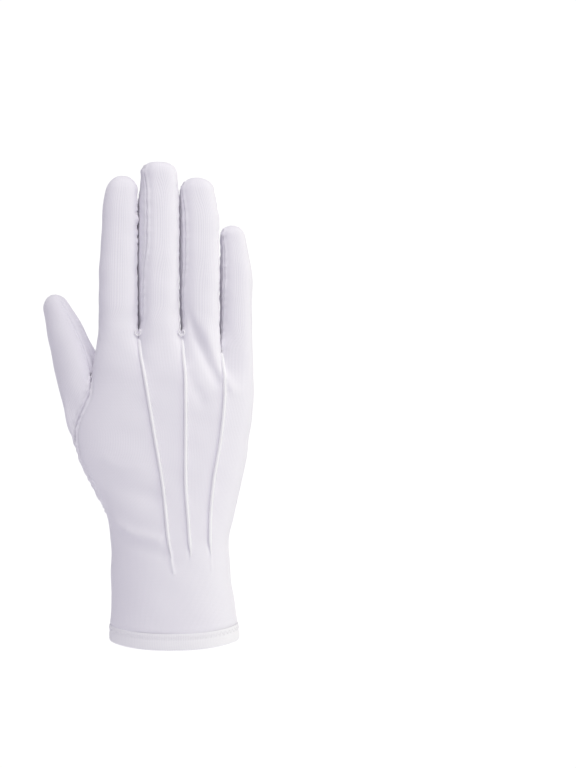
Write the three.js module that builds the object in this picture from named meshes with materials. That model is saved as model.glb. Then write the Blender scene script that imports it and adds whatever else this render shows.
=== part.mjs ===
import * as THREE from 'three';
import { mergeVertices } from 'three/addons/utils/BufferGeometryUtils.js';

// White parade glove for the right hand, filled as a hand fills it. Millimetres, +Z towards the
// fingertips, the back of the hand towards -Y, the thumb towards -X. The origin is the middle of
// the wrist opening. Every cloth piece is cut from one smooth surface, which is worked out from
// the sizes and tables below, and then gets its thickness.

// Cloth
const CLOTH = 1.0;
const SEAM_GAP = 0.3;

// Cuff: from the lower edge up to the wrist, the narrowest place
const CUFF_LENGTH = 54;
const HEM_WIDTH = 65.2;
const HEM_DEPTH = 41;
const HEM_HEIGHT = 8.2;
const HEM_DIP = 2.8;
const WRIST_WIDTH = 60;
const WRIST_DEPTH = 37.5;

// Palm: from the wrist up to the finger crotches
const PALM_LENGTH = 106;
const PALM_WIDTH = 83.6;
const PALM_DEPTH = 30;
const THUMB_MOUND = 6;
const HEEL_MOUND = 3;
const KNUCKLE_BLEND = 24;
const PALM_CROTCH_RISE = 2.5;
const LITTLE_CROTCH_DROP = 8.2;

// Fingers: width and depth at the crotch, length from the crotch to the tip, the height of the
// tip's round end, and how far the finger's middle lies towards the palm
const INDEX = { width: 20.5, depth: 18.6, length: 81.0, dome: 8.2, forward: 1.0 };
const MIDDLE = { width: 22.1, depth: 19.6, length: 88.0, dome: 6.4, forward: 0.0 };
const RING = { width: 19.5, depth: 18.6, length: 84.4, dome: 6.8, forward: 0.5 };
const LITTLE = { width: 16.9, depth: 16.0, length: 63.8, dome: 5.4, forward: 2.0 };
const CROTCH_BLEND = 9;

// Thumb: its axis runs from the middle of its seam to the tip, leaning out and towards the palm
const THUMB_LENGTH = 73;
const THUMB_WIDTH = 30.2;
const THUMB_DEPTH = 32;
const THUMB_DOME = 6.5;
const THUMB_LEAN = 20.6;
const THUMB_FORWARD = 10;

// Raised tucks down the back
const TUCK_WIDTH = 2.1;
const TUCK_HEIGHT = 1.3;
const TUCK_GAP = 0.4;

// Cells of the surface: across each finger's back or palm, across a fourchette, and upwards
const CELL_COUNTS = { index: 8, middle: 5, ring: 5, little: 6, fourchette: 3 };
const HAND_ROWS = 24;
const FINGER_ROWS = 9;
const TIP_ROWS = 3;
const THUMB_ROWS = 8;
const SEAM_RINGS = 2;

// Small helpers
const clamp = (value, low, high) => Math.min(Math.max(value, low), high);
const mix = (a, b, share) => a + (b - a) * share;
const ease = (share) => {
  const s = clamp(share, 0, 1);
  return s * s * (3 - 2 * s);
};
const easeOut = (share) => 1 - (1 - clamp(share, 0, 1)) ** 2.5;
const signedPower = (value, power) => Math.sign(value) * Math.abs(value) ** power;
const radians = THREE.MathUtils.degToRad;

// A table's column at a place, on a smooth curve through its rows.
function along(table, at, column) {
  let row = 0;
  while (row < table.length - 2 && at > table[row + 1].at) row += 1;
  const low = table[row];
  const high = table[row + 1];
  const before = table[Math.max(row - 1, 0)];
  const after = table[Math.min(row + 2, table.length - 1)];
  const span = high.at - low.at;
  const t = clamp((at - low.at) / span, 0, 1);
  const slopeLow = (high[column] - before[column]) / (high.at - before.at);
  const slopeHigh = (after[column] - low[column]) / (after.at - low.at);
  return THREE.MathUtils.lerp(low[column], high[column], t * t * (3 - 2 * t))
    + span * (slopeLow * t * (1 - t) ** 2 - slopeHigh * t * t * (1 - t));
}

// The hand's sections, from the lower edge (at 0) past the wrist (1) to the crotches (2).
// left and right are the distances of the thumb's and the little finger's side from the middle
// line, back and palm those of the two faces, square how box-like the section is.
const KNUCKLE_WIDTH = INDEX.width + MIDDLE.width + RING.width + LITTLE.width;
const HAND = [
  {
    at: 0.00, left: 0.497 * HEM_WIDTH, right: 0.503 * HEM_WIDTH,
    back: 0.52 * HEM_DEPTH, palm: 0.48 * HEM_DEPTH, square: 2.3,
  },
  {
    at: 0.10, left: 0.496 * HEM_WIDTH, right: 0.516 * HEM_WIDTH,
    back: 0.51 * HEM_DEPTH, palm: 0.47 * HEM_DEPTH, square: 2.3,
  },
  {
    at: 0.54, left: 0.531 * WRIST_WIDTH, right: 0.503 * WRIST_WIDTH,
    back: 0.53 * WRIST_DEPTH, palm: 0.50 * WRIST_DEPTH, square: 2.3,
  },
  {
    at: 1.00, left: 0.531 * WRIST_WIDTH, right: 0.478 * WRIST_WIDTH,
    back: 0.50 * WRIST_DEPTH, palm: 0.49 * WRIST_DEPTH, square: 2.3,
  },
  {
    at: 1.10, left: 0.398 * PALM_WIDTH, right: 0.367 * PALM_WIDTH,
    back: 0.57 * PALM_DEPTH, palm: 0.59 * PALM_DEPTH, square: 2.35,
  },
  {
    at: 1.20, left: 0.456 * PALM_WIDTH, right: 0.397 * PALM_WIDTH,
    back: 0.53 * PALM_DEPTH, palm: 0.57 * PALM_DEPTH, square: 2.4,
  },
  {
    at: 1.31, left: 0.534 * PALM_WIDTH, right: 0.429 * PALM_WIDTH,
    back: 0.50 * PALM_DEPTH, palm: 0.54 * PALM_DEPTH, square: 2.45,
  },
  {
    at: 1.42, left: 0.593 * PALM_WIDTH, right: 0.453 * PALM_WIDTH,
    back: 0.48 * PALM_DEPTH, palm: 0.50 * PALM_DEPTH, square: 2.5,
  },
  {
    at: 1.52, left: 0.608 * PALM_WIDTH, right: 0.473 * PALM_WIDTH,
    back: 0.47 * PALM_DEPTH, palm: 0.46 * PALM_DEPTH, square: 2.5,
  },
  {
    at: 1.61, left: 0.574 * PALM_WIDTH, right: 0.484 * PALM_WIDTH,
    back: 0.46 * PALM_DEPTH, palm: 0.44 * PALM_DEPTH, square: 2.5,
  },
  {
    at: 1.72, left: 0.517 * PALM_WIDTH, right: 0.495 * PALM_WIDTH,
    back: 0.45 * PALM_DEPTH, palm: 0.41 * PALM_DEPTH, square: 2.5,
  },
  {
    at: 1.86, left: 0.484 * PALM_WIDTH, right: 0.493 * PALM_WIDTH,
    back: 0.43 * PALM_DEPTH, palm: 0.38 * PALM_DEPTH, square: 2.5,
  },
  {
    at: 2.00, left: 0.487 * KNUCKLE_WIDTH, right: 0.513 * KNUCKLE_WIDTH,
    back: 0.41 * PALM_DEPTH, palm: 0.37 * PALM_DEPTH, square: 2.5,
  },
];

// The three lines on the back that the tucks follow, as distances from the middle line
const KNUCKLE_LINES = [
  0,
  INDEX.width,
  INDEX.width + MIDDLE.width,
  KNUCKLE_WIDTH - LITTLE.width,
  KNUCKLE_WIDTH,
].map((across) => across - 0.487 * KNUCKLE_WIDTH);
const TUCK_LINES = [
  { at: 0.00, index: -0.027 * HEM_WIDTH, middle: 0.137 * HEM_WIDTH, ring: 0.297 * HEM_WIDTH },
  { at: 0.87, index: -0.020 * WRIST_WIDTH, middle: 0.146 * WRIST_WIDTH, ring: 0.321 * WRIST_WIDTH },
  { at: 1.06, index: -0.035 * PALM_WIDTH, middle: 0.093 * PALM_WIDTH, ring: 0.219 * PALM_WIDTH },
  { at: 1.29, index: -0.066 * PALM_WIDTH, middle: 0.074 * PALM_WIDTH, ring: 0.243 * PALM_WIDTH },
  { at: 1.52, index: -0.115 * PALM_WIDTH, middle: 0.074 * PALM_WIDTH, ring: 0.291 * PALM_WIDTH },
  { at: 1.76, index: -0.166 * PALM_WIDTH, middle: 0.072 * PALM_WIDTH, ring: 0.313 * PALM_WIDTH },
  { at: 1.90, index: -0.199 * PALM_WIDTH, middle: 0.060 * PALM_WIDTH, ring: 0.293 * PALM_WIDTH },
  { at: 2.00, index: KNUCKLE_LINES[1], middle: KNUCKLE_LINES[2], ring: KNUCKLE_LINES[3] },
];
const TUCK_END = 0.87;

const CROTCH_HEIGHT = CUFF_LENGTH + PALM_LENGTH;
const levelOf = (z) => (z < CUFF_LENGTH ? z / CUFF_LENGTH : 1 + (z - CUFF_LENGTH) / PALM_LENGTH);
const heightOf = (level) => (level < 1 ? level * CUFF_LENGTH : CUFF_LENGTH + (level - 1) * PALM_LENGTH);

// How box-like the fingers' sections are, and how square their tips are seen from the back
const TUBE_SQUARE = 2.6;
const TIP_ROUND = 2.3;
const TIP_SQUARE = 2.6;

// The four fingers' places side by side. The edges of each finger's tube are shares of half its
// width, left towards the thumb, from the crotch (at 0) to the tip (1), where the dome closes it.
// thick is a share of half its depth.
const FINGERS = [
  {
    name: 'index', size: INDEX, cells: CELL_COUNTS.index, round: TIP_ROUND,
    tube: [
      { at: 0.00, left: 1.00, right: 0.95, thick: 1.00 },
      { at: 0.36, left: 0.95, right: 0.93, thick: 0.94 },
      { at: 0.66, left: 0.83, right: 0.93, thick: 0.86 },
      { at: 0.82, left: 0.75, right: 0.93, thick: 0.80 },
      { at: 1.00, left: 0.47, right: 0.95, thick: 0.68 },
    ],
  },
  {
    name: 'middle', size: MIDDLE, cells: CELL_COUNTS.middle, round: TIP_SQUARE,
    tube: [
      { at: 0.00, left: 0.97, right: 0.92, thick: 1.00 },
      { at: 0.20, left: 1.00, right: 0.84, thick: 0.97 },
      { at: 0.47, left: 1.00, right: 0.87, thick: 0.92 },
      { at: 0.75, left: 0.99, right: 0.84, thick: 0.84 },
      { at: 0.88, left: 0.88, right: 0.79, thick: 0.78 },
      { at: 1.00, left: 0.80, right: 0.76, thick: 0.68 },
    ],
  },
  {
    name: 'ring', size: RING, cells: CELL_COUNTS.ring, round: TIP_ROUND,
    tube: [
      { at: 0.00, left: 1.00, right: 0.97, thick: 1.00 },
      { at: 0.25, left: 1.07, right: 0.95, thick: 0.95 },
      { at: 0.60, left: 1.06, right: 0.95, thick: 0.88 },
      { at: 0.76, left: 1.08, right: 0.96, thick: 0.82 },
      { at: 0.88, left: 1.07, right: 0.71, thick: 0.76 },
      { at: 1.00, left: 1.02, right: 0.53, thick: 0.66 },
    ],
  },
  {
    name: 'little', size: LITTLE, cells: CELL_COUNTS.little, round: TIP_ROUND,
    tube: [
      { at: 0.00, left: 0.95, right: 1.00, thick: 1.00 },
      { at: 0.40, left: 0.91, right: 1.03, thick: 0.94 },
      { at: 0.60, left: 0.92, right: 0.97, thick: 0.88 },
      { at: 0.80, left: 0.91, right: 0.78, thick: 0.82 },
      { at: 1.00, left: 0.86, right: 0.46, thick: 0.66 },
    ],
  },
];
FINGERS.forEach((finger, i) => {
  finger.middle = (KNUCKLE_LINES[i] + KNUCKLE_LINES[i + 1]) / 2;
});

// How far each fourchette seam lies from the finger's side line, in degrees round the section:
// near on the side where the seam shows, far on the side where the next finger hides it.
const FOURCHETTE_SEAMS = [
  { at: 0.00, near: 30, far: 24 },
  { at: 0.15, near: 46, far: 16 },
  { at: 0.50, near: 54, far: 15 },
  { at: 0.80, near: 50, far: 14 },
  { at: 0.93, near: 26, far: 12 },
  { at: 1.00, near: 24, far: 12 },
];
const FOURCHETTE_TOP = 0.9;

// How much of the finger's round back is left between two crotches, before the next one starts
const ARCH_SHARE = 0.88;

// Where the thumb is sewn in, round its seam: side in degrees from the hand's thumb-side line,
// positive on the palm, and up as a share of the palm's length above the wrist.
const THUMB_SEAM = [
  { side: 12, up: 0.132 },
  { side: 44, up: 0.205 },
  { side: 62, up: 0.320 },
  { side: 70, up: 0.440 },
  { side: 66, up: 0.595 },
  { side: 43, up: 0.755 },
  { side: 14, up: 0.820 },
  { side: -8, up: 0.735 },
  { side: -14, up: 0.650 },
  { side: -10, up: 0.550 },
  { side: -11, up: 0.440 },
  { side: -13, up: 0.330 },
  { side: -9, up: 0.220 },
];

// The thumb's half width and half depth along its axis, as shares of its own half sizes
const THUMB = [
  { at: -0.50, wide: 1.00, thick: 0.92 },
  { at: 0.00, wide: 1.00, thick: 1.00 },
  { at: 0.19, wide: 0.96, thick: 0.93 },
  { at: 0.37, wide: 0.86, thick: 0.82 },
  { at: 0.56, wide: 0.74, thick: 0.72 },
  { at: 0.74, wide: 0.61, thick: 0.62 },
  { at: 0.86, wide: 0.53, thick: 0.55 },
  { at: 1.00, wide: 0.43, thick: 0.47 },
];

// The main folds of the cloth, each along a short path on the back or the palm: across as a
// share of the palm's width, up as a share of the palm's length above the wrist. width is how
// wide the fold is, rise how far it stands out, or in where it is less than nothing.
const FOLD_WIDTH = 3.4;
const FOLD_RISE = 1.6;
const FOLDS = [
  { face: 'back', path: [[-0.40, 0.13], [-0.26, 0.045], [-0.09, 0.015]], width: 0.9, rise: 0.9 },
  { face: 'back', path: [[-0.38, 0.04], [-0.24, -0.025], [-0.08, -0.05]], width: 0.9, rise: -0.6 },
  { face: 'back', path: [[-0.48, 0.34], [-0.30, 0.25], [-0.12, 0.22]], width: 1.5, rise: -0.6 },
  { face: 'back', path: [[0.19, 1.01], [0.25, 0.91], [0.30, 0.81], [0.36, 0.73]], width: 0.7, rise: 0.8 },
  { face: 'back', path: [[0.13, 0.99], [0.20, 0.86], [0.27, 0.76]], width: 0.7, rise: -0.8 },
  { face: 'back', path: [[0.10, 0.79], [0.17, 0.67]], width: 1.0, rise: -0.5 },
  { face: 'palm', path: [[-0.24, 0.97], [-0.29, 0.90], [-0.36, 0.81]], width: 0.8, rise: 0.8 },
  { face: 'palm', path: [[-0.19, 0.90], [-0.28, 0.77]], width: 0.9, rise: -0.6 },
  { face: 'palm', path: [[0.32, -0.25], [0.04, -0.04], [-0.17, 0.10]], width: 1.3, rise: -1.2 },
  { face: 'palm', path: [[0.32, -0.31], [0.03, -0.13], [-0.20, 0.00]], width: 1.2, rise: 0.8 },
  { face: 'palm', path: [[0.32, -0.38], [0.02, -0.23], [-0.21, -0.11]], width: 1.3, rise: -1.1 },
];

// How far the folds move a place of the back or the palm outwards.
function foldRise(x, z, onBack) {
  const place = new THREE.Vector3(x, 0, z);
  return FOLDS.filter(({ face }) => face === (onBack ? 'back' : 'palm')).reduce((sum, fold) => {
    const points = fold.path.map(([across, up]) => (
      new THREE.Vector3(across * PALM_WIDTH, 0, CUFF_LENGTH + up * PALM_LENGTH)
    ));
    const distances = points.slice(1).map((end, i) => {
      const nearest = new THREE.Vector3();
      new THREE.Line3(points[i], end).closestPointToPoint(place, true, nearest);
      return nearest.distanceTo(place);
    });
    const share = Math.min(...distances) / (fold.width * FOLD_WIDTH);
    return sum + fold.rise * FOLD_RISE * Math.exp(-share * share);
  }, 0);
}

// Height of the crotch line over a place across the hand, on the back or the palm.
function crotchHeight(x, onBack) {
  const pastRing = (x - KNUCKLE_LINES[2]) / RING.width;
  const drop = LITTLE_CROTCH_DROP * ease(pastRing);
  return CROTCH_HEIGHT - drop + (onBack ? 0 : PALM_CROTCH_RISE);
}

function handSection(z) {
  const at = levelOf(z);
  return {
    left: along(HAND, at, 'left'),
    right: along(HAND, at, 'right'),
    back: along(HAND, at, 'back'),
    palm: along(HAND, at, 'palm'),
    square: along(HAND, at, 'square'),
  };
}

// The five lines between and beside the fingers' columns, from the thumb's side to the other.
function columnLines(z, onBack) {
  const { left, right } = handSection(z);
  const at = Math.min(levelOf(z), 2);
  if (onBack) {
    const tucks = ['index', 'middle', 'ring'].map((name) => along(TUCK_LINES, at, name));
    return [-left, ...tucks, right];
  }
  return KNUCKLE_LINES.map((line, i) => {
    const share = mix(i / 4, (line - KNUCKLE_LINES[0]) / KNUCKLE_WIDTH, at / 2);
    return mix(-left, right, share);
  });
}

// Angle round the hand's section at a distance across it: 0 on the little finger's side,
// 90 degrees on the back, 180 on the thumb's side, 270 on the palm.
function angleAt(x, z, onBack) {
  const { left, right, square } = handSection(z);
  const across = clamp((2 * x + left - right) / (left + right), -1, 1);
  const angle = Math.acos(signedPower(across, square / 2));
  return onBack ? angle : 2 * Math.PI - angle;
}

// Distance of the rounded fingers' faces from the middle plane, where they leave the palm.
function fingerArch(x, z, onBack) {
  const lines = columnLines(z, onBack);
  let i = 0;
  while (i < 3 && x > lines[i + 1]) i += 1;
  const half = (lines[i + 1] - lines[i]) / 2;
  const across = clamp((x - lines[i]) / half - 1, -1, 1);
  const faceY = (finger, share) => {
    const bulge = (finger.size.depth / 2) * (1 - Math.abs(share) ** TUBE_SQUARE) ** (1 / TUBE_SQUARE);
    return finger.size.forward + (onBack ? -bulge : bulge);
  };
  const outer = (across < 0 && i === 0) || (across > 0 && i === 3);
  const y = faceY(FINGERS[i], outer ? across : across * ARCH_SHARE);
  if (outer) return y;
  const next = FINGERS[i + Math.sign(across)] ?? FINGERS[i];
  const step = (faceY(next, ARCH_SHARE) - faceY(FINGERS[i], ARCH_SHARE)) / 2;
  return y + step * Math.abs(across) ** 3;
}

// The two mounds of the palm: how far each rises, its middle across the palm and above the wrist,
// and how wide and high it spreads, as shares of the palm's width and length.
const MOUNDS = [
  { rise: THUMB_MOUND, across: -0.26, level: 0.40, wide: 0.22, high: 0.26 },
  { rise: HEEL_MOUND, across: 0.27, level: 0.25, wide: 0.20, high: 0.25 },
];

// A place on the hand: a rounded section, with mounds on the palm, that turns into the
// four rounded fingers over the last stretch below the crotches.
function handPoint(angle, z) {
  const { left, right, back, palm, square } = handSection(z);
  const x = mix(-left, right, (signedPower(Math.cos(angle), 2 / square) + 1) / 2);
  const onBack = Math.sin(angle) > 0;
  const round = Math.abs(Math.sin(angle)) ** (2 / square);
  const faceShare = Math.abs(Math.sin(angle));
  const up = (z - CUFF_LENGTH) / PALM_LENGTH;
  const mound = ({ rise, across, level, wide, high }) => (
    rise * Math.exp(-(((x / PALM_WIDTH - across) / wide) ** 2) - ((up - level) / high) ** 2)
  );
  const mounds = MOUNDS.reduce((sum, row) => sum + mound(row), 0);
  const broad = onBack ? -back * round : palm * round + mounds * faceShare;
  const blend = ease(1 - (crotchHeight(x, onBack) - z) / KNUCKLE_BLEND);
  const fold = (onBack ? -faceShare : faceShare) * foldRise(x, z, onBack);
  return new THREE.Vector3(x, mix(broad, fingerArch(x, z, onBack), blend) + fold, z);
}

// Outward direction of the hand's surface, from two short steps round and up it.
function handNormal(angle, z) {
  const step = 0.02;
  const round = handPoint(angle - step, z).sub(handPoint(angle + step, z));
  const up = handPoint(angle, z + 1).sub(handPoint(angle, z - 1));
  return round.cross(up).normalize();
}

// A place on a finger's tube: an oval that the tip's dome closes.
function tubePoint(finger, angle, z, floor) {
  const { width, depth, forward } = finger.size;
  const at = clamp((z - floor) / (finger.tip - floor), 0, 1);
  const left = (along(finger.tube, at, 'left') * width) / 2;
  const right = (along(finger.tube, at, 'right') * width) / 2;
  const rise = clamp(1 - (finger.tip - z) / finger.size.dome, 0, 1);
  const shrink = (1 - rise ** finger.round) ** (1 / finger.round);
  const x = finger.middle + (right - left) / 2
    + ((left + right) / 2) * shrink * signedPower(Math.cos(angle), 2 / TUBE_SQUARE);
  const y = forward - (depth / 2) * along(finger.tube, at, 'thick') * shrink
    * signedPower(Math.sin(angle), 2 / TUBE_SQUARE);
  return new THREE.Vector3(x, y, z);
}

// All places of the outer surface, and each piece's faces as rings of places
const places = [];
const faces = { trank: [], thumb: [] };
const addPlace = (point) => places.push(point) - 1;
const addFace = (piece, ...corners) => {
  faces[piece] ??= [];
  faces[piece].push(corners);
};

// Columns round the hand: across the back from the thumb's side, and home across the palm.
const COLUMNS = [];
[true, false].forEach((onBack) => {
  const order = onBack ? [0, 1, 2, 3] : [3, 2, 1, 0];
  order.forEach((i) => {
    for (let step = 0; step < FINGERS[i].cells; step += 1) {
      const share = step / FINGERS[i].cells;
      COLUMNS.push({ finger: i, onBack, share: onBack ? share : 1 - share });
    }
  });
});
const ROUND = COLUMNS.length;

function columnAngle(column, z) {
  const lines = columnLines(z, column.onBack);
  const from = angleAt(lines[column.finger], z, column.onBack);
  const to = angleAt(lines[column.finger + 1], z, column.onBack);
  const end = column.finger === 3 && column.onBack ? 0 : to;
  return mix(column.finger === 0 ? Math.PI : from, end, column.share);
}

const hemEdge = (angle) => HEM_DIP * Math.cos(angle) ** 2;

// The hand's rows, from the hem's upper edge to the crotches
const handRows = [];
for (let row = 0; row <= HAND_ROWS; row += 1) {
  handRows.push(COLUMNS.map((column) => {
    const low = HEM_HEIGHT + hemEdge(columnAngle(column, 0));
    const lineX = mix(KNUCKLE_LINES[column.finger], KNUCKLE_LINES[column.finger + 1], column.share);
    const z = mix(low, crotchHeight(lineX, column.onBack), row / HAND_ROWS);
    return { angle: columnAngle(column, z), z };
  }));
}

// The rectangle of cells round the thumb's seam is left open, and rings of cells fill it
// from its edge to the seam.
const THUMB_CELLS = {
  back: Math.round(0.4 * CELL_COUNTS.index),
  palm: CELL_COUNTS.index + Math.round(0.6 * CELL_COUNTS.middle),
  from: Math.round(0.33 * HAND_ROWS),
  to: Math.round(0.92 * HAND_ROWS),
};
const inThumbCells = (row, column) => row >= THUMB_CELLS.from && row < THUMB_CELLS.to
  && (column < THUMB_CELLS.back || column >= ROUND - THUMB_CELLS.palm);

const handIds = handRows.map((row) => row.map(({ angle, z }) => addPlace(handPoint(angle, z))));
for (let row = 0; row < HAND_ROWS; row += 1) {
  for (let column = 0; column < ROUND; column += 1) {
    const next = (column + 1) % ROUND;
    if (!inThumbCells(row, column)) {
      const [low, high] = [handIds[row], handIds[row + 1]];
      addFace('trank', low[column], low[next], high[next], high[column]);
    }
  }
}

// A place on the thumb's seam, for a share of its way round, on a smooth closed curve
function seamPlace(share) {
  const count = THUMB_SEAM.length;
  const position = ((share % 1) + 1) % 1 * count;
  const row = Math.floor(position);
  const t = position - row;
  const at = (step, column) => THUMB_SEAM[(row + step + count) % count][column];
  const spline = (column) => {
    const [a, b, c, d] = [at(-1, column), at(0, column), at(1, column), at(2, column)];
    return b + 0.5 * t * (c - a + t * (2 * a - 5 * b + 4 * c - d + t * (3 * (b - c) + d - a)));
  };
  return { angle: Math.PI + radians(spline('side')), z: CUFF_LENGTH + spline('up') * PALM_LENGTH };
}

// The rectangle's edge, as seen from outside: up its palm side, over the top and down the back
const rim = [];
const { back: backCells, palm: palmCells, from: lowRow, to: highRow } = THUMB_CELLS;
for (let row = lowRow; row < highRow; row += 1) rim.push([row, ROUND - palmCells]);
for (let step = -palmCells; step < backCells; step += 1) rim.push([highRow, (ROUND + step) % ROUND]);
for (let row = highRow; row > lowRow; row -= 1) rim.push([row, backCells]);
for (let step = backCells; step > -palmCells; step -= 1) rim.push([lowRow, (ROUND + step) % ROUND]);

// Each place of the edge meets the seam where both lie in the same direction from the
// middle of the seam.
const seamMiddle = { side: 26, up: 0.47 };
const directionOf = (side, up) => Math.atan2((up - seamMiddle.up) / 0.35, (side - seamMiddle.side) / 43);
const seamSamples = [];
for (let step = 0; step < 720; step += 1) {
  const { angle, z } = seamPlace(step / 720);
  const side = THREE.MathUtils.radToDeg(angle - Math.PI);
  seamSamples.push({ share: step / 720, direction: directionOf(side, (z - CUFF_LENGTH) / PALM_LENGTH) });
}
const turn = (angle) => Math.atan2(Math.sin(angle), Math.cos(angle));
function seamShareAt(direction) {
  const offBy = (sample) => Math.abs(turn(sample.direction - direction));
  return seamSamples.reduce((best, sample) => (offBy(sample) < offBy(best) ? sample : best)).share;
}

const sideOf = (angle) => (THREE.MathUtils.radToDeg(angle) + 360) % 360 - 180;
const rimPlaces = rim.map(([row, column]) => handRows[row][column]);
const seamPlaces = rimPlaces.map(({ angle, z }) => (
  seamPlace(seamShareAt(directionOf(sideOf(angle), (z - CUFF_LENGTH) / PALM_LENGTH)))
));
let ring = rim.map(([row, column]) => handIds[row][column]);
for (let step = 1; step <= SEAM_RINGS; step += 1) {
  const inner = seamPlaces.map((seam, i) => {
    const share = step / SEAM_RINGS;
    const side = mix(sideOf(rimPlaces[i].angle), sideOf(seam.angle), share);
    return addPlace(handPoint(Math.PI + radians(side), mix(rimPlaces[i].z, seam.z, share)));
  });
  ring.forEach((id, i) => {
    const next = (i + 1) % ring.length;
    addFace('trank', id, inner[i], inner[next], ring[next]);
  });
  ring = inner;
}

// The thumb: in distances along and round its axis, each line runs from its place on the
// seam to the tube's own oval, which the tip's dome closes.
const thumbSlope = new THREE.Vector2(-Math.tan(radians(THUMB_LEAN)), Math.tan(radians(THUMB_FORWARD)));
const thumbAxis = new THREE.Vector3(thumbSlope.x, thumbSlope.y, 1).normalize();
const thumbOut = new THREE.Vector3(-1, 0, 0).addScaledVector(thumbAxis, thumbAxis.x).normalize();
const thumbPalm = thumbAxis.clone().cross(thumbOut).negate();
const THUMB_FOOT = { across: -0.455, depth: 0.17, up: 0.557 };
const thumbFoot = new THREE.Vector3(
  THUMB_FOOT.across * PALM_WIDTH,
  THUMB_FOOT.depth * PALM_DEPTH,
  CUFF_LENGTH + THUMB_FOOT.up * PALM_LENGTH,
);
const thumbLines = ring.map((id) => {
  const from = places[id].clone().sub(thumbFoot);
  return {
    id,
    up: from.dot(thumbAxis),
    round: Math.atan2(from.dot(thumbPalm), from.dot(thumbOut)),
    out: Math.hypot(from.dot(thumbPalm), from.dot(thumbOut)),
  };
});
function thumbPoint(line, up) {
  const at = up / THUMB_LENGTH;
  const rise = clamp(1 - (THUMB_LENGTH - up) / THUMB_DOME, 0, 1);
  const shrink = Math.sqrt(1 - rise ** 2);
  const wide = (along(THUMB, at, 'wide') * THUMB_WIDTH * shrink) / 2;
  const thick = (along(THUMB, at, 'thick') * THUMB_DEPTH * shrink) / 2;
  const free = ease((up - line.up) / (0.45 * (THUMB_LENGTH - line.up)));
  const tube = new THREE.Vector2(wide * Math.cos(line.round), thick * Math.sin(line.round));
  const seam = new THREE.Vector2(Math.cos(line.round), Math.sin(line.round)).multiplyScalar(line.out);
  const flat = seam.lerp(tube, free);
  return thumbFoot.clone().addScaledVector(thumbAxis, up)
    .addScaledVector(thumbOut, flat.x).addScaledVector(thumbPalm, flat.y);
}
const thumbDome = THUMB_LENGTH - THUMB_DOME;
let thumbRing = thumbLines.map(({ id }) => id);
for (let row = 1; row < THUMB_ROWS + TIP_ROWS; row += 1) {
  const above = thumbLines.map((line) => {
    const up = row <= THUMB_ROWS
      ? mix(line.up, thumbDome, row / THUMB_ROWS)
      : thumbDome + THUMB_DOME * Math.sin(((row - THUMB_ROWS) / TIP_ROWS) * (Math.PI / 2));
    return addPlace(thumbPoint(line, up));
  });
  thumbRing.forEach((id, i) => {
    const next = (i + 1) % above.length;
    addFace('thumb', id, above[i], above[next], thumbRing[next]);
  });
  thumbRing = above;
}
const thumbTip = addPlace(thumbPoint(thumbLines[0], THUMB_LENGTH));
thumbRing.forEach((id, i) => addFace('thumb', id, thumbTip, thumbRing[(i + 1) % thumbRing.length]));

// Web lines: across each crotch from the back to the palm, shared by the two fingers' walls
const topRow = handIds[HAND_ROWS];
const columnStart = (i, onBack) => (
  COLUMNS.findIndex((column) => column.finger === i && column.onBack === onBack)
);
const webs = [1, 2, 3].map((i) => {
  const back = topRow[columnStart(i, true)];
  const palm = topRow[columnStart(i - 1, false)];
  const inside = [];
  for (let step = 1; step < CELL_COUNTS.fourchette; step += 1) {
    inside.push(addPlace(places[back].clone().lerp(places[palm], step / CELL_COUNTS.fourchette)));
  }
  return [back, ...inside, palm];
});
const FOURCHETTES = ['fourchette_index_middle', 'fourchette_middle_ring', 'fourchette_ring_little'];

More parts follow.
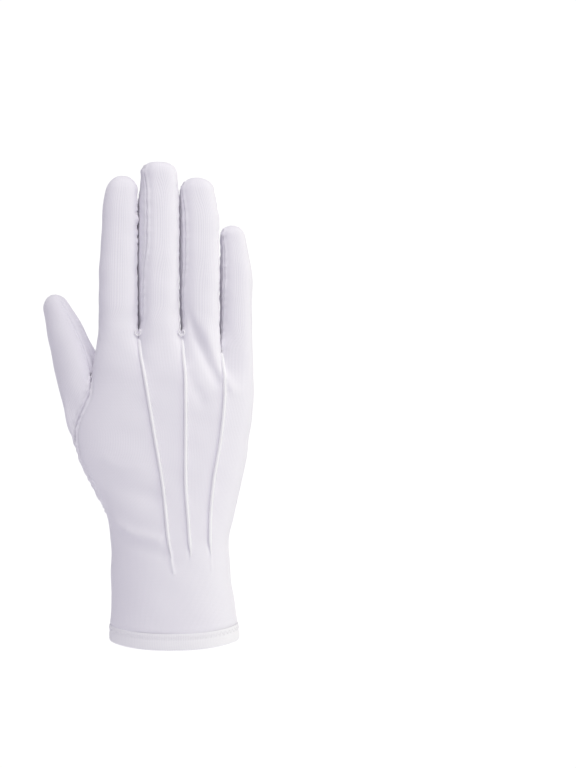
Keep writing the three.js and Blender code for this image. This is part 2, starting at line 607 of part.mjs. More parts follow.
// One finger: its lines run round it from the thumb's side across the back, down the far
// wall, across the palm and up the near wall.
FINGERS.forEach((finger, i) => {
  const floor = crotchHeight(finger.middle, true);
  finger.tip = floor + finger.size.length;
  const near = i > 0;
  const far = i < 3;
  const back = columnStart(i, true);
  const palm = columnStart(i, false);
  const seam = (at, side) => radians(along(FOURCHETTE_SEAMS, at, side));
  const lines = [];
  const addLines = (ids, wall, from, to) => {
    ids.slice(0, -1).forEach((id, step) => {
      const share = step / (ids.length - 1);
      lines.push({ id, wall, angle: (at) => mix(from(at), to(at), share) });
    });
  };
  const idsFrom = (start) => (
    Array.from({ length: finger.cells + 1 }, (_, step) => topRow[(start + step) % ROUND])
  );
  const backLeft = (at) => Math.PI - (near ? seam(at, 'near') : 0);
  const backRight = (at) => (far ? seam(at, 'far') : 0);
  const palmRight = (at) => (far ? -seam(at, 'near') : 0);
  const palmLeft = (at) => -Math.PI + (near ? seam(at, 'far') : 0);
  addLines(idsFrom(back), null, backLeft, backRight);
  if (far) addLines(webs[i], FOURCHETTES[i], backRight, palmRight);
  addLines(idsFrom(palm), null, palmRight, palmLeft);
  if (near) {
    const home = (at) => backLeft(at) - 2 * Math.PI;
    addLines([...webs[i - 1]].reverse(), FOURCHETTES[i - 1], palmLeft, home);
  }

  const domeZ = finger.tip - finger.size.dome;
  let below = lines.map(({ id }) => id);
  for (let row = 1; row < FINGER_ROWS + TIP_ROWS; row += 1) {
    const above = lines.map((line) => {
      const base = places[line.id];
      const z = row <= FINGER_ROWS
        ? mix(base.z, domeZ, (row / FINGER_ROWS) ** 1.15)
        : domeZ + finger.size.dome * Math.sin(((row - FINGER_ROWS) / TIP_ROWS) * (Math.PI / 2));
      const tube = tubePoint(finger, line.angle((z - floor) / (finger.tip - floor)), z, floor);
      const open = (z - base.z) / CROTCH_BLEND;
      const x = mix(base.x, tube.x, easeOut(open));
      const y = mix(base.y, tube.y, ease(open));
      return addPlace(new THREE.Vector3(x, y, z));
    });
    const share = row / (FINGER_ROWS + TIP_ROWS);
    below.forEach((id, column) => {
      const next = (column + 1) % below.length;
      const piece = lines[column].wall && share < FOURCHETTE_TOP ? lines[column].wall : 'trank';
      addFace(piece, id, below[next], above[next], above[column]);
    });
    below = above;
  }
  const tip = addPlace(tubePoint(finger, 0, finger.tip, floor));
  below.forEach((id, column) => addFace('trank', id, below[(column + 1) % below.length], tip));
});

// Outward direction at every place, from the faces round it, each weighted by its corner
const normals = places.map(() => new THREE.Vector3());
Object.values(faces).flat().forEach((face) => {
  face.forEach((id, i) => {
    const toNext = places[face[(i + 1) % face.length]].clone().sub(places[id]);
    const toLast = places[face[(i + face.length - 1) % face.length]].clone().sub(places[id]);
    const direction = toNext.clone().cross(toLast);
    if (direction.length() > 1e-9) {
      normals[id].addScaledVector(direction.normalize(), toNext.angleTo(toLast));
    }
  });
});
normals.forEach((normal) => normal.normalize());

// How far a place on a piece's border is pulled in along the cloth, for half the seam gap.
function borderPull(id, before, after) {
  const into = places[id].clone().sub(places[before]).normalize();
  const onward = places[after].clone().sub(places[id]).normalize();
  const inward = normals[id].clone().cross(into).add(normals[id].clone().cross(onward));
  if (inward.length() > 0.7) {
    return inward.multiplyScalar(SEAM_GAP / inward.lengthSq());
  }
  const outside = Math.sign(normals[id].dot(into.clone().cross(onward)));
  return onward.sub(into).normalize().multiplyScalar(SEAM_GAP * outside);
}

// A closed body of cloth: the outer faces, the same faces one thickness further in, and
// narrow walls between them round every border.
function clothBody(piece) {
  const nextOnBorder = new Map();
  const edges = new Set(piece.flatMap((face) => (
    face.map((id, i) => `${id}>${face[(i + 1) % face.length]}`)
  )));
  piece.forEach((face) => face.forEach((id, i) => {
    const next = face[(i + 1) % face.length];
    if (!edges.has(`${next}>${id}`)) nextOnBorder.set(id, next);
  }));
  const lastOnBorder = new Map([...nextOnBorder].map(([id, next]) => [next, id]));
  const positions = [];
  const corner = (id, depth) => {
    const point = places[id].clone().addScaledVector(normals[id], -depth);
    if (nextOnBorder.has(id)) point.add(borderPull(id, lastOnBorder.get(id), nextOnBorder.get(id)));
    positions.push(point.x, point.y, point.z);
  };
  const triangle = (a, b, c, depth) => {
    corner(a, depth);
    corner(b, depth);
    corner(c, depth);
  };
  piece.forEach(([first, ...rest]) => {
    for (let i = 0; i + 1 < rest.length; i += 1) {
      triangle(first, rest[i], rest[i + 1], 0);
      triangle(first, rest[i + 1], rest[i], CLOTH);
    }
  });
  nextOnBorder.forEach((next, id) => {
    const strip = id < next
      ? [[next, 0], [id, 0], [next, CLOTH], [id, 0], [id, CLOTH], [next, CLOTH]]
      : [[next, 0], [id, 0], [id, CLOTH], [next, 0], [id, CLOTH], [next, CLOTH]];
    strip.forEach(([place, depth]) => corner(place, depth));
  });
  return positions;
}

// A closed body swept from equal rings of points; open ends are closed by a flat fan.
function sweptBody(rings, isLoop) {
  const positions = [];
  const triangle = (...corners) => corners.forEach((point) => positions.push(point.x, point.y, point.z));
  const count = rings[0].length;
  const last = isLoop ? rings.length : rings.length - 1;
  for (let i = 0; i < last; i += 1) {
    const here = rings[i];
    const next = rings[(i + 1) % rings.length];
    for (let j = 0; j < count; j += 1) {
      const k = (j + 1) % count;
      triangle(here[j], here[k], next[k]);
      triangle(here[j], next[k], next[j]);
    }
  }
  if (!isLoop) {
    for (let j = 1; j + 1 < count; j += 1) {
      triangle(rings[0][0], rings[0][j + 1], rings[0][j]);
      triangle(rings[last][0], rings[last][j], rings[last][j + 1]);
    }
  }
  return positions;
}

// The hem's section: how far it stands out of the cloth's face, and its share of the height
const HEM_SECTION = [
  { out: -2.0, up: 1.00 },
  { out: -1.9, up: 0.06 },
  { out: -0.9, up: 0.00 },
  { out: 0.15, up: 0.06 },
  { out: 0.35, up: 0.50 },
  { out: 0.25, up: 1.00 },
];
function hemBody() {
  const top = HEM_HEIGHT - SEAM_GAP / 2;
  const rings = handRows[0].map(({ angle }) => HEM_SECTION.map(({ out, up }) => {
    const z = hemEdge(angle) + up * top;
    const normal = handNormal(angle, z).setZ(0).normalize();
    return handPoint(angle, z).addScaledVector(normal, out * CLOTH);
  }));
  return sweptBody(rings.reverse(), true);
}

// A tuck's section: across it and out of the back, as shares of its width and height
const TUCK_SECTION = [
  { across: -0.28, out: 0.0 },
  { across: 0.28, out: 0.0 },
  { across: 0.50, out: 0.4 },
  { across: 0.30, out: 0.9 },
  { across: -0.30, out: 0.9 },
  { across: -0.50, out: 0.4 },
];
function tuckBody(i) {
  const column = columnStart(i, true);
  const rows = handRows.map((row) => row[column])
    .filter(({ z }) => z >= heightOf(TUCK_END))
    .slice(0, -1);
  const rings = rows.map(({ angle, z }, step) => {
    const point = handPoint(angle, z);
    const normal = handNormal(angle, z);
    const across = new THREE.Vector3(0, 0, 1).cross(normal).negate().normalize();
    const taper = Math.min(1, 0.35 + 0.65 * Math.min(step, rows.length - 1 - step));
    return TUCK_SECTION.map((place) => point.clone()
      .addScaledVector(across, place.across * TUCK_WIDTH * taper)
      .addScaledVector(normal, TUCK_GAP + place.out * TUCK_HEIGHT * taper));
  });
  return sweptBody(rings, false);
}

function bodyMesh(name, positions, material) {
  const loose = new THREE.BufferGeometry();
  loose.setAttribute('position', new THREE.Float32BufferAttribute(positions, 3));
  const geometry = mergeVertices(loose, 1e-4);
  geometry.computeVertexNormals();
  const mesh = new THREE.Mesh(geometry, material);
  mesh.name = name;
  return mesh;
}

const knit = new THREE.MeshStandardMaterial({ color: 0xe9e7f0, roughness: 0.85, metalness: 0 });
const knitWall = new THREE.MeshStandardMaterial({ color: 0xdedbe8, roughness: 0.85, metalness: 0 });
const knitDouble = new THREE.MeshStandardMaterial({ color: 0xefedf5, roughness: 0.8, metalness: 0 });

const glove = new THREE.Group();
glove.name = 'parade_glove';
glove.add(bodyMesh('trank', clothBody(faces.trank), knit));
glove.add(bodyMesh('thumb', clothBody(faces.thumb), knit));
FOURCHETTES.forEach((name) => glove.add(bodyMesh(name, clothBody(faces[name]), knitWall)));
glove.add(bodyMesh('cuff_hem', hemBody(), knitDouble));
['tuck_index_middle', 'tuck_middle_ring', 'tuck_ring_little'].forEach((name, i) => {
  glove.add(bodyMesh(name, tuckBody(i + 1), knitDouble));
});

export default glove;
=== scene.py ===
import math

import bpy
import numpy as np
from bpy.props import FloatProperty, FloatVectorProperty, PointerProperty
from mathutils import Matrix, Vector


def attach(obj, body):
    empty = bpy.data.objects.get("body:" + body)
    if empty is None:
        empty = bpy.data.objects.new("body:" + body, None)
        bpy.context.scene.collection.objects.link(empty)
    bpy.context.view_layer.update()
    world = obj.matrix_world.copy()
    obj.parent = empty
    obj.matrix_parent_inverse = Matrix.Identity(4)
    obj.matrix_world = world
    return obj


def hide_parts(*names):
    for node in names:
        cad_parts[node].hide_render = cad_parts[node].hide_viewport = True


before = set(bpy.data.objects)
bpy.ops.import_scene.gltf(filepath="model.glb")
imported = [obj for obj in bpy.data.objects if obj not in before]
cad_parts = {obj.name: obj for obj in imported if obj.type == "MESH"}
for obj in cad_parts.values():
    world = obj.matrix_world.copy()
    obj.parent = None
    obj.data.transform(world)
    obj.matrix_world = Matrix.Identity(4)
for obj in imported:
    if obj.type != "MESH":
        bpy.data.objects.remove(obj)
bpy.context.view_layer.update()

bl_info = {
    "name": "Parade glove",
    "version": (1, 0, 0),
    "blender": (4, 5, 0),
    "location": "3D View > Sidebar > Parade glove",
    "description": "Dresses the packed parade glove in knitted cloth, seams, tucks and threads",
    "category": "Add Mesh",
}

MM = 0.001
TAU = 2 * math.pi

# The glove's own sizes in millimetres, as the part has them. +Z runs to the fingertips, the back
# of the hand faces -Y and the thumb -X.
CUFF_LENGTH = 54.0
HEM_WIDTH = 65.2
HEM_DEPTH = 41.0
HEM_HEIGHT = 8.2
HEM_DIP = 2.8
WRIST_WIDTH = 60.0
WRIST_DEPTH = 37.5
PALM_LENGTH = 106.0
PALM_WIDTH = 83.6
PALM_DEPTH = 30.0
THUMB_MOUND = 6.0
HEEL_MOUND = 3.0
KNUCKLE_BLEND = 24.0
PALM_CROTCH_RISE = 2.5
LITTLE_CROTCH_DROP = 8.2
CROTCH_BLEND = 9.0
THUMB_LENGTH = 73.0
THUMB_WIDTH = 30.2
THUMB_DEPTH = 32.0
THUMB_DOME = 6.5
THUMB_LEAN = math.radians(20.6)
THUMB_FORWARD = math.radians(10)
THUMB_GIRTH = 13.0
TUBE_SQUARE = 2.6
ARCH_SHARE = 0.88
WALL_LEAN = 0.18
TUCK_END = 0.87
FOLD_WIDTH = 3.4
CROTCH_HEIGHT = CUFF_LENGTH + PALM_LENGTH

# Cells of the surface: across each finger's back or palm, across a finger wall, and upwards
CELLS = (30, 22, 22, 24)
WALL_CELLS = 10
HAND_ROWS = 132
FINGER_ROWS = 66
TIP_ROWS = 9
THUMB_ROWS = 64
SEAM_RINGS = 14
HAND_GROUP = 4
THUMB_GROUP = 5


def table(names, *rows):
    """Rows of numbers as one array for each named column."""
    return dict(zip(names.split(), np.array(rows, float).T))


# Each finger's width, depth, length, dome height, place towards the palm, its tip's roundness, and
# how much of its inner wall turns to the back
FINGER = table(
    "width depth length dome forward round wall",
    (20.5, 18.6, 81.0, 8.2, 1.0, 2.3, 1.0),
    (22.1, 19.6, 88.0, 6.4, 0.0, 2.6, 1.0),
    (19.5, 18.6, 84.4, 6.8, 0.5, 2.3, 0.72),
    (16.9, 16.0, 63.8, 5.4, 2.0, 2.3, 0.62),
)
KNUCKLE_WIDTH = FINGER["width"].sum()
KNUCKLE_LINES = np.concatenate([[0], np.cumsum(FINGER["width"])]) - 0.487 * KNUCKLE_WIDTH
FINGER_MIDDLE = (KNUCKLE_LINES[:-1] + KNUCKLE_LINES[1:]) / 2

# The hand's sections from the lower edge (0) past the wrist (1) to the crotches (2)
HAND = table(
    "at left right back palm square",
    (0.00, 0.497 * HEM_WIDTH, 0.503 * HEM_WIDTH, 0.52 * HEM_DEPTH, 0.48 * HEM_DEPTH, 2.3),
    (0.10, 0.496 * HEM_WIDTH, 0.516 * HEM_WIDTH, 0.51 * HEM_DEPTH, 0.47 * HEM_DEPTH, 2.3),
    (0.54, 0.531 * WRIST_WIDTH, 0.503 * WRIST_WIDTH, 0.53 * WRIST_DEPTH, 0.50 * WRIST_DEPTH, 2.3),
    (1.00, 0.531 * WRIST_WIDTH, 0.478 * WRIST_WIDTH, 0.50 * WRIST_DEPTH, 0.49 * WRIST_DEPTH, 2.3),
    (1.10, 0.398 * PALM_WIDTH, 0.367 * PALM_WIDTH, 0.57 * PALM_DEPTH, 0.59 * PALM_DEPTH, 2.35),
    (1.20, 0.456 * PALM_WIDTH, 0.397 * PALM_WIDTH, 0.53 * PALM_DEPTH, 0.57 * PALM_DEPTH, 2.4),
    (1.31, 0.534 * PALM_WIDTH, 0.429 * PALM_WIDTH, 0.50 * PALM_DEPTH, 0.54 * PALM_DEPTH, 2.45),
    (1.42, 0.593 * PALM_WIDTH, 0.453 * PALM_WIDTH, 0.48 * PALM_DEPTH, 0.50 * PALM_DEPTH, 2.5),
    (1.52, 0.608 * PALM_WIDTH, 0.473 * PALM_WIDTH, 0.47 * PALM_DEPTH, 0.46 * PALM_DEPTH, 2.5),
    (1.61, 0.574 * PALM_WIDTH, 0.484 * PALM_WIDTH, 0.46 * PALM_DEPTH, 0.44 * PALM_DEPTH, 2.5),
    (1.72, 0.517 * PALM_WIDTH, 0.495 * PALM_WIDTH, 0.45 * PALM_DEPTH, 0.41 * PALM_DEPTH, 2.5),
    (1.86, 0.484 * PALM_WIDTH, 0.493 * PALM_WIDTH, 0.43 * PALM_DEPTH, 0.38 * PALM_DEPTH, 2.5),
    (2.00, 0.487 * KNUCKLE_WIDTH, 0.513 * KNUCKLE_WIDTH, 0.41 * PALM_DEPTH, 0.37 * PALM_DEPTH, 2.5),
)

# The three lines on the back that the tucks follow
TUCKS = table(
    "at index middle ring",
    (0.00, -0.027 * HEM_WIDTH, 0.137 * HEM_WIDTH, 0.297 * HEM_WIDTH),
    (0.87, -0.020 * WRIST_WIDTH, 0.146 * WRIST_WIDTH, 0.321 * WRIST_WIDTH),
    (1.06, -0.035 * PALM_WIDTH, 0.093 * PALM_WIDTH, 0.219 * PALM_WIDTH),
    (1.29, -0.066 * PALM_WIDTH, 0.074 * PALM_WIDTH, 0.243 * PALM_WIDTH),
    (1.52, -0.115 * PALM_WIDTH, 0.074 * PALM_WIDTH, 0.291 * PALM_WIDTH),
    (1.76, -0.166 * PALM_WIDTH, 0.072 * PALM_WIDTH, 0.313 * PALM_WIDTH),
    (1.90, -0.199 * PALM_WIDTH, 0.060 * PALM_WIDTH, 0.293 * PALM_WIDTH),
    (2.00, *KNUCKLE_LINES[1:4]),
)

# The fingers' edges and thickness from the crotch (0) to the tip (1)
TUBES = (
    table(
        "at left right thick",
        (0.00, 1.00, 0.95, 1.00), (0.36, 0.95, 0.93, 0.94), (0.66, 0.83, 0.93, 0.86),
        (0.82, 0.75, 0.93, 0.80), (1.00, 0.47, 0.95, 0.68),
    ),
    table(
        "at left right thick",
        (0.00, 0.97, 0.92, 1.00), (0.20, 1.00, 0.84, 0.97), (0.47, 1.00, 0.87, 0.92),
        (0.75, 0.99, 0.84, 0.84), (0.88, 0.88, 0.79, 0.78), (1.00, 0.80, 0.76, 0.68),
    ),
    table(
        "at left right thick",
        (0.00, 1.00, 0.97, 1.00), (0.25, 1.07, 0.95, 0.95), (0.60, 1.06, 0.95, 0.88),
        (0.76, 1.08, 0.96, 0.82), (0.88, 1.07, 0.71, 0.76), (1.00, 1.02, 0.53, 0.66),
    ),
    table(
        "at left right thick",
        (0.00, 0.95, 1.00, 1.00), (0.40, 0.91, 1.03, 0.94), (0.60, 0.92, 0.97, 0.88),
        (0.80, 0.91, 0.78, 0.82), (1.00, 0.86, 0.46, 0.66),
    ),
)
WALL_SEAMS = table(
    "at near far",
    (0.00, 30, 24), (0.15, 34, 16), (0.34, 37, 15), (0.52, 53, 15), (0.80, 50, 14), (0.93, 26, 12),
    (1.00, 24, 12),
)
THUMB_SEAM = table(
    "side up",
    (12, 0.132), (44, 0.205), (62, 0.320), (70, 0.440), (66, 0.595), (43, 0.755), (14, 0.820),
    (-8, 0.735), (-14, 0.650), (-10, 0.550), (-11, 0.440), (-13, 0.330), (-9, 0.220),
)
SEAM_MIDDLE = (26.0, 0.47)
THUMB = table(
    "at wide thick",
    (-0.50, 1.00, 0.92), (0.00, 1.00, 1.00), (0.19, 0.96, 0.93), (0.37, 0.86, 0.82),
    (0.56, 0.73, 0.71), (0.74, 0.59, 0.60), (0.86, 0.49, 0.52), (1.00, 0.37, 0.42),
)
MOUNDS = table(
    "rise across level wide high",
    (THUMB_MOUND, -0.26, 0.40, 0.22, 0.26),
    (HEEL_MOUND, 0.27, 0.25, 0.20, 0.25),
)

# The waves of the cloth: how many, their least and greatest length, how much they lean, how far
# each piece's waves are shifted, and over which stretch of a finger the shift comes
RIPPLES = 9
RIPPLE_LENGTHS = (13.0, 34.0)
RIPPLE_LEAN = 0.55
RIPPLE_SHIFT = 1.7
SHIFT_START, SHIFT_STRETCH = 4.0, 18.0

# Where the tucks end, as the hand's table counts height, and their feet as a share of their width
TUCK_TOP = 1.982
TUCK_FOOT = 0.62

# The second line of stitches beside the thumb's seam on the hand, and the part of it that shows
STITCH_ROW = 2.6
ROW_SIDE, ROW_LOW, ROW_HIGH = 20, 0.16, 0.74

# The zigzag's two heights as shares of the hem's
ZIGZAG = (0.93, 0.68)

# How far a thread lies above the cloth, and the length of a ply's turn in metres
THREAD_LIFT = 0.02
PLY_LENGTH = 0.0005

# The thread loops in the first two crotches: width, height and how far their middle lies above
LOOP_WIDTH = 2.9
LOOP_HEIGHT = 3.0
LOOP_RISE = 0.3

# Folds of the cloth: on the back or not, a path across and up the palm, width and rise as shares
# of the fold's own sizes. The first eleven are the main ones, the rest are slight.
FOLDS = (
    (True, ((-0.40, 0.13), (-0.26, 0.045), (-0.09, 0.015)), 0.9, 0.7),
    (True, ((-0.38, 0.04), (-0.24, -0.025), (-0.08, -0.05)), 0.9, -0.35),
    (True, ((-0.48, 0.34), (-0.30, 0.25), (-0.12, 0.22)), 1.5, -0.6),
    (True, ((0.19, 1.01), (0.25, 0.91), (0.30, 0.81), (0.36, 0.73)), 0.7, 0.8),
    (True, ((0.13, 0.99), (0.20, 0.86), (0.27, 0.76)), 0.7, -0.8),
    (True, ((0.10, 0.79), (0.17, 0.67)), 1.0, -0.5),
    (False, ((-0.24, 0.97), (-0.29, 0.90), (-0.36, 0.81)), 0.8, 0.8),
    (False, ((-0.19, 0.90), (-0.28, 0.77)), 0.9, -0.6),
    (False, ((0.32, -0.25), (0.04, -0.04), (-0.17, 0.10)), 1.3, -1.2),
    (False, ((0.32, -0.31), (0.03, -0.13), (-0.20, 0.00)), 1.2, 0.8),
    (False, ((0.32, -0.38), (0.02, -0.23), (-0.21, -0.11)), 1.3, -1.1),
    (True, ((-0.41, 0.14), (-0.33, 0.078), (-0.25, 0.045)), 0.45, 0.4),
    (True, ((-0.016, -0.040), (-0.012, -0.090), (0.002, -0.140)), 0.22, 0.3),
    (True, ((0.228, -0.045), (0.228, -0.090), (0.232, -0.130)), 0.22, 0.12),
    (True, ((-0.42, 0.40), (-0.33, 0.36), (-0.20, 0.355)), 0.9, 0.22),
    (True, ((-0.30, 0.93), (-0.18, 0.90)), 1.3, 0.3),
)

# The crease in the thumb's seam on the back: its height, length, least depth into the hand, how
# far it opens and how deep it goes
CREASE = (115.0, 9.5, 2.0, 0.22, 0.9)

# The index finger's seam is puckered most at this height: how much more, and over what length
PUCKERED = (215.0, 3.2, 9.0)

# The two lines down the inner side of the thumb: degrees round it, then depth by height
THUMB_LINES = table("angle width strength", (-122, 0.55, 1.0), (-146, 0.55, 0.7))
THUMB_LINE_DEPTH = table(
    "at depth",
    (-0.30, 0.0), (0.02, 0.55), (0.30, 1.0), (0.70, 0.6), (0.97, 0.35), (1.0, 0.0),
)

# The hem's section, closed: how far it stands out of the cloth's face and its share of the height
HEM_PROFILE = np.array([
    (-1.90, 1.00), (-1.95, 0.70), (-1.95, 0.40), (-1.90, 0.10), (-1.70, 0.03), (-1.30, 0.00),
    (-0.75, 0.00), (-0.30, 0.01), (0.00, 0.035), (0.20, 0.08), (0.32, 0.16), (0.40, 0.30),
    (0.42, 0.44), (0.40, 0.55), (0.32, 0.615), (0.31, 0.65), (0.35, 0.72), (0.42, 0.80),
    (0.42, 0.90), (0.34, 0.985), (0.18, 1.045), (0.02, 1.035), (-0.06, 0.995), (-0.60, 0.99),
])

# The place in the hem's section where the knit's own lengths are measured
HEM_MEASURED = 8

# A tuck's section, closed: across by its width and up by its height
TUCK_PROFILE = np.array([
    (-0.20, 0.00), (0.20, 0.00), (0.33, 0.10), (0.46, 0.30), (0.50, 0.52), (0.43, 0.76), (0.26, 0.94),
    (0.00, 1.00), (-0.26, 0.94), (-0.43, 0.76), (-0.50, 0.52), (-0.46, 0.30), (-0.33, 0.10),
])

WALLS = ("fourchette_index_middle", "fourchette_middle_ring", "fourchette_ring_little")
TUCK_NAMES = ("tuck_index_middle", "tuck_middle_ring", "tuck_ring_little")

# The stage in metres: the floor's depth below the cuff and its glow, the backdrop, the light from
# all round, and the lamps' places, sizes, shares of the key power and colours
FLOOR_DROP = 0.3
FLOOR_GLOW = 0.4
BACKDROP = 1.05
SKY_COLOUR = (0.90, 0.86, 1.0, 1)
LAMP_AIM = (0, 0, 0.12)
LAMPS = (
    ("key", (0.85, -0.25, 0.15), 0.5, 0.76, (0.96, 1.0, 0.78)),
    ("top", (0.15, -0.45, 0.95), 0.6, 1.72, (1.0, 1.0, 0.93)),
    ("low", (0.05, -0.6, -0.35), 0.5, 0.1, (1.0, 0.97, 1.0)),
    ("behind", (0.35, 1.3, 0.4), 1.2, 1.2, (1.0, 0.98, 0.95)),
    ("left", (-1.2, 0.5, 0.3), 0.9, 0.3, (1.0, 0.97, 1.0)),
)


def mix(a, b, share):
    """a where the share is 0, b where it is 1, and straight between them."""
    return a + (b - a) * share


def ease(share):
    """0 up to share 0 and 1 from share 1, with 3s^2 - 2s^3 between them."""
    s = np.clip(share, 0, 1)
    return s * s * (3 - 2 * s)


def ease_out(share):
    """1 - (1 - s)^2.5: quick at first, slow at the end."""
    return 1 - (1 - np.clip(share, 0, 1)) ** 2.5


def bell(distance):
    """The bell curve e^(-d^2)."""
    return np.exp(-distance * distance)


def signed_power(value, power):
    """The value's size to a power, with its own sign."""
    return np.sign(value) * np.abs(value) ** power


def unit(vectors):
    """The vectors at length one."""
    return vectors / np.maximum(np.linalg.norm(vectors, axis=-1, keepdims=True), 1e-12)


def travel_along(path):
    """Distance from a path's start to each of its places."""
    return np.concatenate([[0], np.cumsum(np.linalg.norm(np.diff(path, axis=0), axis=1))])


def along(rows, at, column):
    """A table's column at some places: a cubic from row to row with slopes from its neighbours."""
    places, values = rows["at"], rows[column]
    at = np.asarray(at, float)
    low = np.searchsorted(places[1:-1], at, side="left")
    high = low + 1
    before = np.maximum(low - 1, 0)
    after = np.minimum(high + 1, len(places) - 1)
    span = places[high] - places[low]
    t = np.clip((at - places[low]) / span, 0, 1)
    slope_low = (values[high] - values[before]) / (places[high] - places[before])
    slope_high = (values[after] - values[low]) / (places[after] - places[low])
    return (mix(values[low], values[high], t * t * (3 - 2 * t))
            + span * (slope_low * t * (1 - t) ** 2 - slope_high * t * t * (1 - t)))


def level_of(z):
    """Height as the hand's table counts it: 1 at the wrist and 2 at the crotches."""
    return np.where(z < CUFF_LENGTH, z / CUFF_LENGTH, 1 + (z - CUFF_LENGTH) / PALM_LENGTH)


def crotch_height(x, on_back):
    """Height of the crotch line over a place across the hand; it drops by the little finger."""
    drop = LITTLE_CROTCH_DROP * ease((x - KNUCKLE_LINES[2]) / FINGER["width"][2])
    return CROTCH_HEIGHT - drop + np.where(on_back, 0, PALM_CROTCH_RISE)


def column_lines(z, on_back):
    """The five lines between and beside the fingers' columns, as distances across."""
    level = level_of(z)
    left, right = along(HAND, level, "left"), along(HAND, level, "right")
    at = np.minimum(level, 2)
    back = np.array([-left, *(along(TUCKS, at, name) for name in ("index", "middle", "ring")), right])
    even = np.arange(5).reshape((5,) + (1,) * np.ndim(z)) / 4
    spread = ((KNUCKLE_LINES - KNUCKLE_LINES[0]) / KNUCKLE_WIDTH).reshape(even.shape)
    palm = mix(-left, right, mix(even, spread, at / 2))
    return np.where(on_back, back, palm)


def angle_at(x, z, on_back):
    """Angle round the rounded section at a distance across it: 90 degrees is the back's middle."""
    level = level_of(z)
    left, right, square = (along(HAND, level, name) for name in ("left", "right", "square"))
    across = np.clip((2 * x + left - right) / (left + right), -1, 1)
    angle = np.arccos(signed_power(across, square / 2))
    return np.where(on_back, angle, TAU - angle)


def finger_arch(x, z, on_back):
    """Depth of the rounded fingers' faces: a superellipse over each finger's own width, with the
    step to the next finger shared by the cube of the distance from the finger's middle."""
    lines = column_lines(z, on_back)
    finger = (x > lines[1]).astype(int) + (x > lines[2]) + (x > lines[3])
    low = np.take_along_axis(lines, finger[None], 0)[0]
    high = np.take_along_axis(lines, finger[None] + 1, 0)[0]
    across = np.clip(2 * (x - low) / (high - low) - 1, -1, 1)

    def face_depth(which, share):
        bulge = FINGER["depth"][which] / 2 * (1 - np.abs(share) ** TUBE_SQUARE) ** (1 / TUBE_SQUARE)
        return FINGER["forward"][which] + np.where(on_back, -bulge, bulge)

    outer = ((across < 0) & (finger == 0)) | ((across > 0) & (finger == 3))
    depth = face_depth(finger, np.where(outer, across, across * ARCH_SHARE))
    beside = np.clip(finger + np.sign(across).astype(int), 0, 3)
    step = (face_depth(beside, ARCH_SHARE) - face_depth(finger, ARCH_SHARE)) / 2
    return np.where(outer, depth, depth + step * np.abs(across) ** 3)


def path_distance(x, z, path):
    """Distance to the nearest straight step of a path, in the plane of the back or the palm."""
    best = np.full(np.shape(x), np.inf)
    for (x0, z0), (x1, z1) in zip(path[:-1], path[1:]):
        run, rise = x1 - x0, z1 - z0
        t = np.clip(((x - x0) * run + (z - z0) * rise) / (run * run + rise * rise), 0, 1)
        best = np.minimum(best, np.hypot(x - x0 - t * run, z - z0 - t * rise))
    return best


def fold_rise(x, z, on_back, height):
    """How far the folds lift a place: a bell curve across each fold's path."""
    total = np.zeros(np.shape(x))
    for back, path, width, rise in FOLDS:
        steps = [(across * PALM_WIDTH, CUFF_LENGTH + up * PALM_LENGTH) for across, up in path]
        shape = height * rise * bell(path_distance(x, z, steps) / (width * FOLD_WIDTH))
        total += np.where(on_back == back, shape, 0)
    return total


def tuck_pull(x, z, depth, reach):
    """The cloth beside a tuck, drawn in by its stitches: a bell curve at either foot of the tuck,
    much the deeper on the thumb's side."""
    level = level_of(z)
    shown = ease((level - TUCK_END + 0.04) / 0.05) * ease((1.985 - level) / 0.03)
    total = np.zeros(np.shape(x))
    for name in ("index", "middle", "ring"):
        off = x - along(TUCKS, np.minimum(level, 2), name)
        feet = bell((off + reach) / (0.55 * reach)) + 0.15 * bell((off - reach) / (0.55 * reach))
        total -= depth * feet * shown
    return total


def hand_point(angle, z, sizes):
    """A place on the hand. Across, the section is a superellipse; the palm adds two mounds, each
    the product of two bell curves; near the crotches the faces turn into the fingers' own; the
    folds and the tucks' pull move the faces straight out or in."""
    level = level_of(z)
    left, right, back, palm, square = (
        along(HAND, level, name) for name in ("left", "right", "back", "palm", "square"))
    x = mix(-left, right, (signed_power(np.cos(angle), 2 / square) + 1) / 2)
    on_back = np.sin(angle) > 0
    face = np.abs(np.sin(angle))
    swell = face ** (2 / square)
    up = (z - CUFF_LENGTH) / PALM_LENGTH
    mounds = sum(
        rise * bell((x / PALM_WIDTH - across) / wide) * bell((up - middle) / high)
        for rise, across, middle, wide, high in zip(*MOUNDS.values()))
    broad = np.where(on_back, -back * swell, palm * swell + mounds * face)
    blend = ease(1 - (crotch_height(x, on_back) - z) / KNUCKLE_BLEND)
    out = fold_rise(x, z, on_back, sizes["fold_height"])
    pull = tuck_pull(x, z, sizes["tuck_pull"], TUCK_FOOT * sizes["tuck_width"])
    out = out + np.where(on_back, pull, 0)
    y = mix(broad, finger_arch(x, z, on_back), blend) + np.where(on_back, -face, face) * out
    return np.stack([x, y, np.broadcast_to(z, x.shape)], axis=-1)


def hand_normal(angle, z, sizes):
    """Outward direction of the hand, the cross product of short steps round and up it."""
    step = 0.02
    around = hand_point(angle - step, z, sizes) - hand_point(angle + step, z, sizes)
    up = hand_point(angle, z + 1, sizes) - hand_point(angle, z - 1, sizes)
    return unit(np.cross(around, up))


